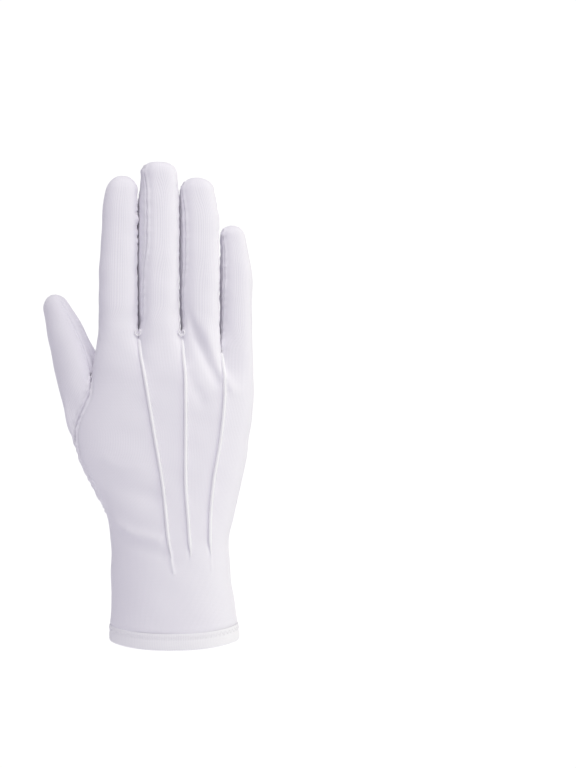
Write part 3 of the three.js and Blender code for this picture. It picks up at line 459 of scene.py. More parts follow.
def tube_point(which, angle, z, floor):
    """A place on a finger: a superellipse between its two edges, closed by the tip's dome. Its
    walls beside other fingers lean to the thumb side with depth, by a share of the depth."""
    tip = floor + FINGER["length"][which]
    at = np.clip((z - floor) / (tip - floor), 0, 1)
    rows, width = TUBES[which], FINGER["width"][which]
    left = along(rows, at, "left") * width / 2
    right = along(rows, at, "right") * width / 2
    rise = np.clip(1 - (tip - z) / FINGER["dome"][which], 0, 1)
    round_end = FINGER["round"][which]
    shrink = (1 - rise ** round_end) ** (1 / round_end)
    across = signed_power(np.cos(angle), 2 / TUBE_SQUARE)
    deep = (-FINGER["depth"][which] / 2 * along(rows, at, "thick") * shrink
            * signed_power(np.sin(angle), 2 / TUBE_SQUARE))
    beside = np.where(across < 0, which > 0, which < 3)
    x = (FINGER_MIDDLE[which] + (right - left) / 2 + (left + right) / 2 * shrink * across
         - WALL_LEAN * deep * np.abs(across) * beside)
    return np.stack([x, FINGER["forward"][which] + deep, z], axis=-1)


def gathered(count):
    """Shares from 0 to just under 1, closer together by both ends, less a part of a sine wave."""
    even = np.arange(count) / count
    return even - 0.72 * np.sin(TAU * even) / TAU


def column_angle(finger, on_back, share, z):
    """Angle of the grid's columns: each finger's share of the way between its two lines."""
    lines = column_lines(z, on_back)
    which = np.broadcast_to(finger, z.shape)
    start = angle_at(np.take_along_axis(lines, which[None], 0)[0], z, on_back)
    end = angle_at(np.take_along_axis(lines, which[None] + 1, 0)[0], z, on_back)
    start = np.where(which == 0, math.pi, start)
    end = np.where((which == 3) & on_back, 0, end)
    return mix(start, end, share)


def hem_edge(angle):
    """Height of the cuff's lower edge, which rises to both sides by the cosine squared."""
    return HEM_DIP * np.cos(angle) ** 2


class Sheet:
    """Places of the outer cloth as they are added, and each piece's faces as rows of corners."""

    def __init__(self):
        self.points, self.uv, self.group = [], [], []
        self.faces, self.seams, self.count = {}, [], 0

    def add(self, points, uv, group):
        """Adds an array of places and gives back their numbers in the array's shape."""
        shape = points.shape[:-1]
        ids = np.arange(self.count, self.count + int(np.prod(shape))).reshape(shape)
        self.points.append(points.reshape(-1, 3))
        self.uv.append(np.broadcast_to(uv, shape + (2,)).reshape(-1, 2))
        self.group.append(np.full(ids.size, group))
        self.count += ids.size
        return ids

    def cover(self, piece, *corners):
        """Adds the faces whose corners are these equal arrays of numbers."""
        rows = np.stack([corner.ravel() for corner in np.broadcast_arrays(*corners)], axis=-1)
        self.faces.setdefault(piece, []).append(rows)

    def place(self, ids):
        """Where the numbered places are."""
        return np.concatenate(self.points)[ids]


def cloth_width(sizes):
    """Length round a middle section of the hand, from angle 0 on, for the knit's own lines."""
    angles = np.linspace(0, TAU, 361)
    return angles, travel_along(hand_point(angles, np.full(361, 110.0), sizes))


def add_hand(sheet, sizes):
    """The hand's grid, rows up and columns round, with the cells round the thumb's seam left open
    and rings of cells from their edge to the seam. A ring is the straight mix of edge and seam."""
    finger = np.concatenate([np.repeat([0, 1, 2, 3], CELLS), np.repeat([3, 2, 1, 0], CELLS[::-1])])
    on_back = np.arange(len(finger)) < sum(CELLS)
    share = np.concatenate([gathered(n) for n in CELLS] + [1 - gathered(n) for n in CELLS[::-1]])
    angles, lengths = cloth_width(sizes)

    def knit_uv(angle, z):
        return np.stack([np.interp(angle, angles, lengths), np.broadcast_to(z, angle.shape)], axis=-1)

    low = HEM_HEIGHT + hem_edge(column_angle(finger, on_back, share, np.zeros(len(finger))))
    line = mix(KNUCKLE_LINES[finger], KNUCKLE_LINES[finger + 1], share)
    z = mix(low, crotch_height(line, on_back), np.linspace(0, 1, HAND_ROWS + 1)[:, None])
    angle = column_angle(finger, on_back, share, z)
    ids = sheet.add(hand_point(angle, z, sizes), knit_uv(angle, z), HAND_GROUP)

    round_count = len(finger)
    back = round(0.46 * CELLS[0])
    palm = CELLS[0] + round(0.6 * CELLS[1])
    first, last = round(0.33 * HAND_ROWS), round(0.92 * HAND_ROWS)
    rows, columns = np.meshgrid(np.arange(HAND_ROWS), np.arange(round_count), indexing="ij")
    open_cells = ((rows >= first) & (rows < last)
                  & ((columns < back) | (columns >= round_count - palm)))
    rows, columns = rows[~open_cells], columns[~open_cells]
    beside = (columns + 1) % round_count
    sheet.cover("trank", ids[rows, columns], ids[rows, beside],
                ids[rows + 1, beside], ids[rows + 1, columns])

    tall, wide = last - first, palm + back
    rim_rows = np.concatenate([np.arange(first, last), np.full(wide, last),
                               np.arange(last, first, -1), np.full(wide, first)])
    rim_columns = np.concatenate([np.full(tall, -palm), np.arange(-palm, back),
                                  np.full(tall, back), np.arange(back, -palm, -1)]) % round_count
    rim_side = (np.degrees(angle[rim_rows, rim_columns]) + 360) % 360 - 180
    rim_z = z[rim_rows, rim_columns]

    samples = np.arange(5760) / 5760
    seam_side, seam_up = seam_place(samples)

    def direction(side, up):
        return np.arctan2((up - SEAM_MIDDLE[1]) / 0.35, (side - SEAM_MIDDLE[0]) / 43)

    wanted = direction(rim_side, (rim_z - CUFF_LENGTH) / PALM_LENGTH)
    apart = np.abs((direction(seam_side, seam_up) - wanted[:, None] + math.pi) % TAU - math.pi)
    matched = np.unwrap(samples[apart.argmin(axis=1)], period=1)
    even = np.arange(len(matched)) * (round(matched[-1] - matched[0]) / len(matched))
    window = bell(np.arange(-12, 13) / 6.0)
    uneven = np.pad(matched - even, 12, mode="wrap")
    side, up = seam_place(even + np.convolve(uneven, window / window.sum(), mode="valid"))
    seam_z = CUFF_LENGTH + up * PALM_LENGTH
    closer = 1 - (1 - np.arange(1, SEAM_RINGS + 1)[:, None] / SEAM_RINGS) ** 1.7
    ring_angle = math.pi + np.radians(mix(rim_side, side, closer))
    ring_z = mix(rim_z, seam_z, closer)
    inner = sheet.add(hand_point(ring_angle, ring_z, sizes), knit_uv(ring_angle, ring_z), HAND_GROUP)
    rings = np.vstack([ids[rim_rows, rim_columns][None], inner])
    turned = np.roll(rings, -1, axis=1)
    sheet.cover("trank", rings[:-1], rings[1:], turned[1:], turned[:-1])
    sheet.seams.append(("thumb", THUMB_GROUP, np.append(rings[-1], rings[-1][0])))
    sheet.seams.append(("hem", HAND_GROUP, np.append(ids[0], ids[0][0])))
    sheet.hem_angle = angle[0]
    sheet.period = {"trank": lengths[-1], "thumb": TAU * THUMB_GIRTH}
    sheet.tuck_ids = [ids[:, sum(CELLS[:i])] for i in (1, 2, 3)]
    last_step = np.diff(sheet.place(ids[-2:]), axis=0)[0]
    sheet.top_slope = last_step / last_step[:, 2:]
    return ids[-1], rings[-1]


def seam_place(share):
    """The thumb seam at shares of its way round: a closed cubic spline through its rows."""
    position = np.mod(share, 1) * len(THUMB_SEAM["up"])
    row = position.astype(int)
    t = position - row

    def spline(column):
        values = THUMB_SEAM[column]
        a, b, c, d = (values[(row + step) % len(values)] for step in (-1, 0, 1, 2))
        return b + 0.5 * t * (c - a + t * (2 * a - 5 * b + 4 * c - d + t * (3 * (b - c) + d - a)))

    return spline("side"), spline("up")


# The thumb's own directions, along it, out to its side and to the palm, and where it stands
THUMB_AXIS = unit(np.array([-math.tan(THUMB_LEAN), math.tan(THUMB_FORWARD), 1.0]))
THUMB_OUT = unit(np.array([-1.0, 0, 0]) + THUMB_AXIS[0] * THUMB_AXIS)
THUMB_PALM = -np.cross(THUMB_AXIS, THUMB_OUT)
THUMB_FOOT = np.array([-0.455 * PALM_WIDTH, 0.17 * PALM_DEPTH, CUFF_LENGTH + 0.557 * PALM_LENGTH])


def add_thumb(sheet, seam_ids, sizes):
    """The thumb, in distances along and round its axis: each line starts at its place on the seam
    and eases over into an oval tube that a dome closes. Two lines down its inner side are pressed
    in by bell curves of the way round."""
    start = sheet.place(seam_ids) - THUMB_FOOT
    foot_up = start @ THUMB_AXIS
    across, deep = start @ THUMB_OUT, start @ THUMB_PALM
    turn, out = np.arctan2(deep, across), np.hypot(deep, across)
    dome = THUMB_LENGTH - THUMB_DOME
    rise = (np.arange(1, THUMB_ROWS + 1)[:, None] / THUMB_ROWS) ** 1.25
    cap = np.sin(np.arange(1, TIP_ROWS)[:, None] / TIP_ROWS * math.pi / 2)
    up = np.vstack([mix(foot_up, dome, rise),
                    np.broadcast_to(dome + THUMB_DOME * cap, (TIP_ROWS - 1, len(out)))])

    def thumb_point(up, turn, out, foot_up):
        at = up / THUMB_LENGTH
        shrink = np.sqrt(1 - np.clip(1 - (THUMB_LENGTH - up) / THUMB_DOME, 0, 1) ** 2)
        wide = along(THUMB, at, "wide") * THUMB_WIDTH * shrink / 2
        thick = along(THUMB, at, "thick") * THUMB_DEPTH * shrink / 2
        free = ease((up - foot_up) / (0.45 * (THUMB_LENGTH - foot_up)))
        x = mix(out * np.cos(turn), wide * np.cos(turn), free)
        y = mix(out * np.sin(turn), thick * np.sin(turn), free)
        radius = np.hypot(x, y)
        depth = sizes["thumb_line"] * along(THUMB_LINE_DEPTH, at, "depth")
        for line, width, strength in zip(*THUMB_LINES.values()):
            off = ((turn - math.radians(line) + math.pi) % TAU - math.pi) * radius
            radius = radius + depth * strength * (0.45 * bell((off + 1.5) / 0.9) - bell(off / width))
        scale = radius / np.maximum(np.hypot(x, y), 1e-9)
        return THUMB_FOOT + (up[..., None] * THUMB_AXIS + (x * scale)[..., None] * THUMB_OUT
                             + (y * scale)[..., None] * THUMB_PALM)

    u = np.broadcast_to((turn % TAU) * THUMB_GIRTH, up.shape)
    body = sheet.add(thumb_point(up, turn, out, foot_up), np.stack([u, up], axis=-1), THUMB_GROUP)
    lines = np.vstack([seam_ids[None], body])
    turned = np.roll(lines, -1, axis=1)
    sheet.cover("thumb", lines[:-1], lines[1:], turned[1:], turned[:-1])
    tip = THUMB_FOOT + THUMB_LENGTH * THUMB_AXIS
    end = sheet.add(tip[None], np.array([[0, THUMB_LENGTH]]), THUMB_GROUP)
    sheet.cover("thumb", lines[-1], end[0], turned[-1])


def add_webs(sheet, top_ids):
    """The crotch lines between the fingers: straight from the back's place to the palm's."""
    around = len(top_ids)
    webs = []
    for i in (1, 2, 3):
        back = top_ids[sum(CELLS[:i])]
        palm = top_ids[around - sum(CELLS[:i])]
        share = gathered(WALL_CELLS)[1:, None]
        points = mix(sheet.place(back), sheet.place(palm), share)
        uv = np.stack([share[:, 0] * 16, np.zeros(WALL_CELLS - 1)], axis=-1)
        inside = sheet.add(points, uv, HAND_GROUP)
        webs.append(np.concatenate([[back], inside, [palm]]))
    return webs


def add_finger(sheet, which, top_ids, webs, sizes):
    """One finger. Its lines run from the crotch row up a tube; over the first stretch a line goes
    on as the hand left it and eases over into the tube, at once beside a crotch and slowly
    elsewhere. Sine steps close the dome."""
    around = len(top_ids)
    first, last = sum(CELLS[:which]), sum(CELLS[:which + 1])
    back_ids = top_ids[first:last + 1]
    palm_ids = top_ids[np.arange(around - last, around - first + 1) % around]
    floor = crotch_height(FINGER_MIDDLE[which], True)
    tip = floor + FINGER["length"][which]
    near, far = which > 0, which < 3

    def seam(at, side, has_wall):
        turn = np.radians(along(WALL_SEAMS, at, side)) * has_wall
        return turn * FINGER["wall"][which] if side == "near" else turn

    bounds = {
        "back_left": lambda at: math.pi - seam(at, "near", near),
        "back_right": lambda at: seam(at, "far", far),
        "palm_right": lambda at: -seam(at, "near", far),
        "palm_left": lambda at: -math.pi + seam(at, "far", near),
        "home": lambda at: -math.pi - seam(at, "near", near),
    }
    face, side = gathered(CELLS[which]), gathered(WALL_CELLS)
    parts = [(back_ids, face, "back_left", "back_right", None)]
    if far:
        parts.append((webs[which], side, "back_right", "palm_right", WALLS[which]))
    parts.append((palm_ids, face, "palm_right", "palm_left", None))
    if near:
        parts.append((webs[which - 1][::-1], side, "palm_left", "home", WALLS[which - 1]))

    feet = np.concatenate([ids[:-1] for ids, *_ in parts])
    base = sheet.place(feet)
    dome = tip - FINGER["dome"][which]
    rise = (np.arange(1, FINGER_ROWS + 1)[:, None] / FINGER_ROWS) ** 1.1
    cap = np.sin(np.arange(1, TIP_ROWS)[:, None] / TIP_ROWS * math.pi / 2)
    z = np.vstack([mix(base[:, 2], dome, rise),
                   np.broadcast_to(dome + FINGER["dome"][which] * cap, (TIP_ROWS - 1, len(feet)))])
    at = (z - floor) / (tip - floor)
    angle, start = np.zeros(z.shape), 0
    for ids, share, low, high, _ in parts:
        block = slice(start, start + len(share))
        angle[:, block] = mix(bounds[low](at[:, block]), bounds[high](at[:, block]), share)
        start += len(share)
    tube = tube_point(which, angle, z, floor)
    slope = np.zeros((sheet.count, 3))
    slope[top_ids] = sheet.top_slope
    webbed = np.zeros(len(feet))
    for line, has_web in ((which, near), (which + 1, far)):
        if has_web:
            webbed = np.maximum(webbed, bell((base[:, 0] - KNUCKLE_LINES[line]) / 3.0))
    climb = z - base[:, 2]
    opened = climb / CROTCH_BLEND / mix(1.7, 1.0, webbed)
    onward = base + (slope[feet] * (1 - webbed)[:, None]) * climb[..., None]
    sideways = mix(ease(opened), ease_out(opened), webbed)
    points = np.stack([mix(onward[..., 0], tube[..., 0], sideways),
                       mix(onward[..., 1], tube[..., 1], ease(opened)), z], axis=-1)
    u = np.broadcast_to(np.concatenate([sheet_u(sheet, ids[:-1]) for ids, *_ in parts]), z.shape)
    body = sheet.add(points, np.stack([u, z], axis=-1), which)
    lines = np.vstack([feet[None], body])
    turned = np.roll(lines, -1, axis=1)

    def cover(piece, edges):
        sheet.cover(piece, edges[:-1, :-1], edges[:-1, 1:], edges[1:, 1:], edges[1:, :-1])

    wall_top = FINGER_ROWS + TIP_ROWS // 3
    start = 0
    for ids, share, _, _, wall in parts:
        block = slice(start, start + len(share))
        edges = np.hstack([lines[:, block], turned[:, block][:, -1:]])
        stop = wall_top if wall else 0
        if wall:
            cover(wall, edges[:stop + 1])
            border = np.concatenate([edges[:stop + 1, 0], edges[stop, 1:-1], edges[stop::-1, -1]])
            sheet.seams.append(("wall", which, border))
        cover("trank", edges[stop:])
        start += len(share)
    centre = tube_point(which, np.zeros(1), np.array([tip]), floor)
    end = sheet.add(centre, np.array([[0, tip]]), which)
    sheet.cover("trank", lines[-1], turned[-1], end[0])


def sheet_u(sheet, ids):
    """The knit's own place across the cloth for numbered places."""
    return np.concatenate(sheet.uv)[ids, 0]


def vertex_normals(points, faces):
    """Outward direction at each place: the sum of the cross products at its faces' corners."""
    total = np.zeros(points.shape)
    for rows in faces:
        count = rows.shape[1]
        for corner in range(count):
            here = points[rows[:, corner]]
            onward = points[rows[:, (corner + 1) % count]] - here
            backward = points[rows[:, corner - 1]] - here
            direction = np.cross(onward, backward)
            for axis in range(3):
                total[:, axis] += np.bincount(rows[:, corner], direction[:, axis], len(points))
    return unit(total)


def nearest_seam(points, starts, ends, lengths):
    """For each place its distance to the nearest straight step of the seams, that step's number,
    and how far along its seam the nearest point lies."""
    steps = ends - starts
    squares = np.maximum((steps ** 2).sum(axis=1), 1e-12)
    distance, which, travel = (np.zeros(len(points)) for _ in range(3))
    parts = max(1, len(points) * len(starts) // 3_000_000)
    for block in np.array_split(np.arange(len(points)), parts):
        offset = points[block][:, None] - starts
        t = np.clip(np.einsum("ijk,jk->ij", offset, steps) / squares, 0, 1)
        gap = ((offset - t[..., None] * steps) ** 2).sum(axis=2)
        best = gap.argmin(axis=1)
        rows = np.arange(len(block))
        distance[block] = np.sqrt(gap[rows, best])
        which[block] = best
        travel[block] = lengths[best] + t[rows, best] * np.sqrt(squares[best])
    return distance, which.astype(int), travel


def seam_relief(kind, distance, travel, on_hand, strength, sizes):
    """How far a place near a seam is moved out: the edges dip into the seam, a soft roll lies
    beside it, and puckers run along it, each a bell curve of the distance."""
    spacing = sizes["pucker_spacing"]
    wobble = np.sin(TAU * travel / spacing + 1.4 * np.sin(TAU * travel / (3.3 * spacing)))
    wobble = wobble + 0.5 * np.sin(TAU * travel / (1.9 * spacing) + 2.0)
    dip = -sizes["seam_depth"] * bell(distance / 0.5)
    roll = sizes["seam_roll"] * (bell((distance - 1.05) / 0.5) - 0.4 * bell((distance - 2.3) / 0.7))
    pucker = sizes["pucker_depth"] * strength * wobble * bell((distance - 0.8) / 1.9)
    seam = dip + roll + pucker
    second = -0.75 * sizes["seam_depth"] * bell((distance - STITCH_ROW) / 0.5) + 0.5 * roll
    thumb = seam + np.where(on_hand, second + 0.5 * pucker, 0)
    hem = -0.28 * bell(distance / 0.6) + 0.1 * bell((distance - 2.0) / 0.9)
    return np.select([kind == 0, kind == 1], [seam, thumb], hem)


def ripples(points, group, sizes):
    """Slow unevenness of the cloth: a sum of sine waves, most of them lying across the hand. Over
    its first stretch each finger's waves slide away from the hand's."""
    chance = np.random.default_rng(11)
    floors = np.array([crotch_height(middle, True) for middle in FINGER_MIDDLE])
    on_finger = group < HAND_GROUP
    climb = points[:, 2] - floors[np.where(on_finger, group, 0)]
    as_hand = ease(1 - (climb - SHIFT_START) / SHIFT_STRETCH)
    shift = RIPPLE_SHIFT * (group + np.where(on_finger, HAND_GROUP - group, 0) * as_hand)
    total = np.zeros(len(points))
    for _ in range(RIPPLES):
        length = chance.uniform(*RIPPLE_LENGTHS)
        lean = chance.normal(0, RIPPLE_LEAN)
        direction = np.array([math.sin(lean), 0.35 * chance.normal(), math.cos(lean)])
        phase = points @ (direction * TAU / length) + chance.uniform(0, TAU) + shift
        total += np.sin(phase) * length / RIPPLE_LENGTHS[1]
    return sizes["ripple_height"] * total / 2


def glove_sheet(sizes):
    """The whole outer cloth: places, directions and faces, with its seams and ripples worked in."""
    sheet = Sheet()
    top_ids, seam_ids = add_hand(sheet, sizes)
    add_thumb(sheet, seam_ids, sizes)
    webs = add_webs(sheet, top_ids)
    for which in range(4):
        add_finger(sheet, which, top_ids, webs, sizes)
    points, group = np.concatenate(sheet.points), np.concatenate(sheet.group)
    faces = [rows for piece in sheet.faces.values() for rows in piece]
    normals = vertex_normals(points, faces)

    kinds = {"wall": 0, "thumb": 1, "hem": 2}
    steps = []
    for number, (name, holder, ids) in enumerate(sheet.seams, 1):
        line, count = points[ids], len(ids) - 1
        steps.append((line[:-1], line[1:], travel_along(line)[:-1] + 7.0 * number,
                      np.full(count, kinds[name]), np.full(count, holder), ids[:-1]))
    starts, ends, lengths, kind, owner, foot = (np.concatenate(column) for column in zip(*steps))
    move, reach = ripples(points, group, sizes), np.zeros(len(points))
    for holder in range(6):
        mine = group == holder
        use = np.full(len(owner), True) if holder == HAND_GROUP else owner == holder
        distance, which, travel = nearest_seam(points[mine], starts[use], ends[use], lengths[use])
        reach[mine] = distance
        if holder == THUMB_GROUP:
            share = ease(distance / 4)[:, None]
            normals[mine] = unit(mix(normals[foot[use][which]], normals[mine], share))
            thumb_home = foot[use][which], share
        on_hand = np.full(mine.sum(), holder == HAND_GROUP)
        puckered = bell((points[mine, 2] - PUCKERED[0]) / PUCKERED[2]) * (holder == 0)
        strength = 1 + PUCKERED[1] * puckered
        move[mine] += seam_relief(kind[use][which], distance, travel, on_hand, strength, sizes)
    side = np.concatenate(sheet.uv)[:, 0]
    around = side[group == HAND_GROUP].max()
    closing = (group == HAND_GROUP) | (group == 3)
    off = np.minimum(side, around - side)
    move -= np.where(closing, 0.7 * sizes["seam_depth"] * bell(off / 0.6), 0)
    sheet.seam_distance = reach
    sheet.on_thumb_seam = np.zeros(len(points), bool)
    for name, _, ids in sheet.seams:
        sheet.on_thumb_seam[ids] |= name == "thumb"
    near_thumb = nearest_seam(points, starts[kind == 1], ends[kind == 1], lengths[kind == 1])[0]
    move -= CREASE[4] * bell(near_thumb / 0.75) * groove(points)
    sheet.flat = points + normals * move[:, None]
    sheet.normals = vertex_normals(sheet.flat, faces)
    home, share = thumb_home
    mine = group == THUMB_GROUP
    alike = (sheet.normals[home] * sheet.normals[mine]).sum(axis=1, keepdims=True)
    share = np.maximum(share, ease((0.8 - alike) / 0.3))
    sheet.normals[mine] = unit(mix(sheet.normals[home], sheet.normals[mine], share))
    return sheet


def groove(points):
    """1 where the thumb's seam opens into a crease on the back, falling off as a bell curve."""
    return bell((points[:, 2] - CREASE[0]) / CREASE[1]) * ease((CREASE[2] - points[:, 1]) / 3)


def cloth_body(sheet, piece, thickness, gap):
    """A closed body of cloth: the outer faces, the same faces one thickness further in, and walls
    between them along every border, which is pulled in by half the seam's gap."""
    faces, points, normals = sheet.faces[piece], sheet.flat, sheet.normals
    count = len(points)
    tails = np.concatenate([rows.ravel() for rows in faces])
    heads = np.concatenate([np.roll(rows, -1, axis=1).ravel() for rows in faces])
    border = ~np.isin(heads * count + tails, tails * count + heads)
    tails, heads = tails[border], heads[border]
    onward, backward = np.full(count, -1), np.full(count, -1)
    onward[tails], backward[heads] = heads, tails
    edge = np.unique(tails)
    into = unit(points[edge] - points[backward[edge]])
    out = unit(points[onward[edge]] - points[edge])
    inward = np.cross(normals[edge], into) + np.cross(normals[edge], out)
    square = (inward ** 2).sum(axis=1, keepdims=True)
    sign = np.sign((normals[edge] * np.cross(into, out)).sum(axis=1, keepdims=True))
    gap = gap + CREASE[3] * groove(points[edge])[:, None] * (sheet.on_thumb_seam[edge])[:, None]
    straight = inward * gap / np.maximum(square, 1e-9)
    pull = np.where(square > 0.5, straight, unit(out - into) * gap * sign)
    outer = points.copy()
    outer[edge] += pull
    used = np.unique(np.concatenate([rows.ravel() for rows in faces]))
    near = np.setdiff1d(used, edge)
    near = near[sheet.seam_distance[near] < 1.5]
    for block in np.array_split(near, max(1, len(near) // 400)):
        apart = ((points[block][:, None] - points[edge]) ** 2).sum(axis=2)
        home = apart.argmin(axis=1)
        fade = np.exp(-sheet.seam_distance[block][:, None] / (2 * gap[home]))
        outer[block] += unit(pull[home]) * gap[home] * fade
    number = np.full(count, -1)
    number[used] = np.arange(len(used))
    inner = len(used)
    shell = [number[rows] for rows in faces]
    lining = [number[rows][:, ::-1] + inner for rows in faces]
    rim = np.stack([number[heads], number[tails]], axis=-1)
    walls = np.hstack([rim, rim[:, ::-1] + inner])
    verts = np.vstack([outer[used], outer[used] - normals[used] * thickness])
    uv = np.concatenate(sheet.uv)[used]
    facing = np.vstack([normals[used], -normals[used]])
    corners = [facing[rows] for rows in shell + lining]
    a, b, c, d = (verts[walls[:, corner]] for corner in range(4))
    flat = unit(np.cross(c - a, d - b))
    corners.append(np.repeat(flat[:, None], 4, axis=1))
    return verts, shell + lining + [walls], np.vstack([uv, uv]), corners


def add_object(name, data):
    """An object of the scene that holds a mesh, a lamp or a camera."""
    item = bpy.data.objects.new(name, data)
    bpy.context.scene.collection.objects.link(item)
    return item


def make_piece(name, verts, faces, uv, slot, sharp=55, period=1e9, material=None):
    """A mesh object from places in millimetres, faces as rows of corners and a knit map, which
    repeats across the cloth after a period. Its material is the slot's own or a named one."""
    mesh = bpy.data.meshes.new(name)
    mesh.from_pydata((verts * MM).tolist(), [], [row for rows in faces for row in rows.tolist()])
    corners = [uv[rows] for rows in faces]
    for places in corners:
        across = places[..., 0]
        across += period * (across < across.max(axis=1, keepdims=True) - period / 2)
    layer = mesh.uv_layers.new(name="knit")
    flat = np.concatenate([places.reshape(-1, 2) for places in corners])
    layer.data.foreach_set("uv", (flat * MM).astype(np.float32).ravel())
    mesh.polygons.foreach_set("use_smooth", np.full(len(mesh.polygons), True))
    mesh.set_sharp_from_angle(angle=math.radians(sharp))
    mesh.materials.append(shared_material(material or slot))
    mesh.update()
    if mesh.validate():
        raise RuntimeError(f"{name} has faces that had to be mended")
    piece = add_object(name, mesh)
    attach(piece, "root")
    return piece


def make_thread(name, verts, faces):
    """A piece of thread."""
    return make_piece(name, verts, faces, verts[:, [0, 2]], "knit_double", 80, material="thread")


def swept_grid(rings, closed):
    """Faces of a tube whose rings are rows of numbers, joined end to end if it is closed."""
    count, sides = rings.shape[:2]
    ids = np.arange(count * sides).reshape(count, sides)
    if closed:
        ids = np.vstack([ids, ids[:1]])
    turned = np.roll(ids, -1, axis=1)
    return np.stack([ids[:-1], turned[:-1], turned[1:], ids[1:]], axis=-1).reshape(-1, 4)


def fan(centre, ring):
    """Faces from one place to each pair of neighbours in a ring of numbers."""
    return np.stack([np.full(len(ring), centre), ring, np.roll(ring, -1)], axis=-1)


def threads(starts, ends, normals, radius, height):
    """Many short threads: each an arch, height times the sine above a straight step, with a round
    section whose radius narrows to both ends."""
    sections, sides = 7, 6
    t = np.linspace(0, 1, sections)[None, :, None]
    centre = mix(starts[:, None], ends[:, None], t) + normals[:, None] * (height * np.sin(math.pi * t))
    step = unit(ends - starts)
    side = unit(np.cross(step, normals))[:, None, None]
    top = unit(np.cross(side[:, 0, 0], step))[:, None, None]
    turn = (np.arange(sides) / sides * TAU)[None, None, :, None]
    width = radius * (0.3 + 0.7 * np.sin(math.pi * t) ** 0.5)[..., None]
    rings = centre[:, :, None] + width * (np.cos(turn) * side + np.sin(turn) * top)
    verts = np.concatenate([rings.reshape(len(starts), -1, 3), starts[:, None], ends[:, None]], axis=1)
    each = sections * sides + 2
    tube = swept_grid(rings[0], False)[:, ::-1]
    ring = np.arange(sides)
    caps = np.vstack([fan(each - 2, ring), fan(each - 1, ring + each - 2 - sides)[:, [0, 2, 1]]])
    shift = (np.arange(len(starts)) * each)[:, None, None]
    return verts.reshape(-1, 3), [(rows + shift).reshape(-1, rows.shape[1]) for rows in (tube, caps)]


def tube_along(path, normals, radius, sides=12):
    """A round tube along an open path, with each end closed by a cone to a point one radius beyond it."""
    step = unit(np.gradient(path, axis=0))
    side = unit(np.cross(step, normals))
    top = np.cross(side, step)
    turn = (np.arange(sides) / sides * TAU)[None, :, None]
    outward = np.cos(turn) * side[:, None] + np.sin(turn) * top[:, None]
    rings = path[:, None] + radius[:, None, None] * outward
    verts = np.vstack([rings.reshape(-1, 3), path[:1] - step[:1] * radius[0],
                       path[-1:] + step[-1:] * radius[-1]])
    ring, end = np.arange(sides), len(path) * sides
    caps = np.vstack([fan(end, ring), fan(end + 1, ring + end - sides)[:, [0, 2, 1]]])
    return verts, [swept_grid(rings, False)[:, ::-1], caps]


def join(parts):
    """Several bodies of places and faces as one."""
    verts, faces, shift = [], [], 0
    for places, rows in parts:
        verts.append(places)
        faces += [row + shift for row in rows]
        shift += len(places)
    return np.vstack(verts), faces


def set_input(tree, socket, value):
    """Links a node's input to an output, or sets it to a value."""
    if isinstance(value, bpy.types.NodeSocket):
        tree.links.new(value, socket)
    else:
        socket.default_value = value


def add_node(tree, kind, inputs, **settings):
    """A node with its settings, and with its inputs, named or numbered, linked or set."""
    node = tree.nodes.new(kind)
    for name, value in settings.items():
        setattr(node, name, value)
    for key, value in inputs.items():
        set_input(tree, node.inputs[key], value)
    return node


def math_node(tree, operation, *values):
    """The output of a Math node."""
    inputs = dict(enumerate(values))
    return add_node(tree, "ShaderNodeMath", inputs, operation=operation).outputs[0]


def knit_loops_group():
    """The knit's relief: ribs are the size of the sine across the cloth, and the loops on them a
    sine along it that leans with the rib, with a fine fuzz from noise."""
    group = bpy.data.node_groups.get("knit_loops")
    if group:
        return group
    group = bpy.data.node_groups.new("knit_loops", "ShaderNodeTree")
    face = group.interface
    face.new_socket("Map", in_out="INPUT", socket_type="NodeSocketVector")
    for name, value in (("Rib Spacing", 0.001), ("Loop Length", 0.0008), ("Fuzz", 0.3)):
        face.new_socket(name, in_out="INPUT", socket_type="NodeSocketFloat").default_value = value
    for name in ("Height", "Mask"):
        face.new_socket(name, in_out="OUTPUT", socket_type="NodeSocketFloat")
    given = group.nodes.new("NodeGroupInput").outputs
    split = add_node(group, "ShaderNodeSeparateXYZ", {0: given["Map"]}).outputs
    across = math_node(group, "DIVIDE", split[0], given["Rib Spacing"])
    wave = math_node(group, "SINE", math_node(group, "MULTIPLY", across, math.pi))
    rib = math_node(group, "ABSOLUTE", wave)
    upward = math_node(group, "DIVIDE", split[1], given["Loop Length"])
    leaning = math_node(group, "ADD", upward, math_node(group, "MULTIPLY", rib, 0.5))
    loop = math_node(group, "SINE", math_node(group, "MULTIPLY", leaning, TAU))
    noise = add_node(group, "ShaderNodeTexNoise", {"Scale": 2600, "Detail": 2, "Vector": given["Map"]})
    fuzz = math_node(group, "MULTIPLY", noise.outputs[0], given["Fuzz"])
    rib_height = math_node(group, "MULTIPLY", rib, 0.7)
    bump = math_node(group, "ADD", rib_height, math_node(group, "MULTIPLY", loop, 0.22))
    height = math_node(group, "ADD", bump, fuzz)
    # The rib mask also drives the knit's painted shade between the ribs.
    add_node(group, "NodeGroupOutput", {"Height": height, "Mask": rib})
    return group


def shaded_colour(tree, colour, shade, factor):
    """A colour that turns to its shaded self by a factor."""
    deeper = [part * kept for part, kept in zip(colour, shade)]
    inputs = {"Factor": factor, 6: (*colour, 1), 7: (*deeper, 1)}
    return add_node(tree, "ShaderNodeMix", inputs, data_type="RGBA").outputs[2]


def bumped(tree, height, strength, distance):
    """The direction that a height gives the surface."""
    inputs = {"Strength": strength, "Distance": distance, "Height": height}
    return add_node(tree, "ShaderNodeBump", inputs).outputs[0]


def new_material(name, inputs_for):
    """A material whose shader's inputs come from a function of its node tree."""
    material = bpy.data.materials.new(name)
    material.use_nodes = True
    tree = material.node_tree
    shader = tree.nodes["Principled BSDF"]
    for key, value in inputs_for(tree).items():
        set_input(tree, shader.inputs[key], value)
    return material


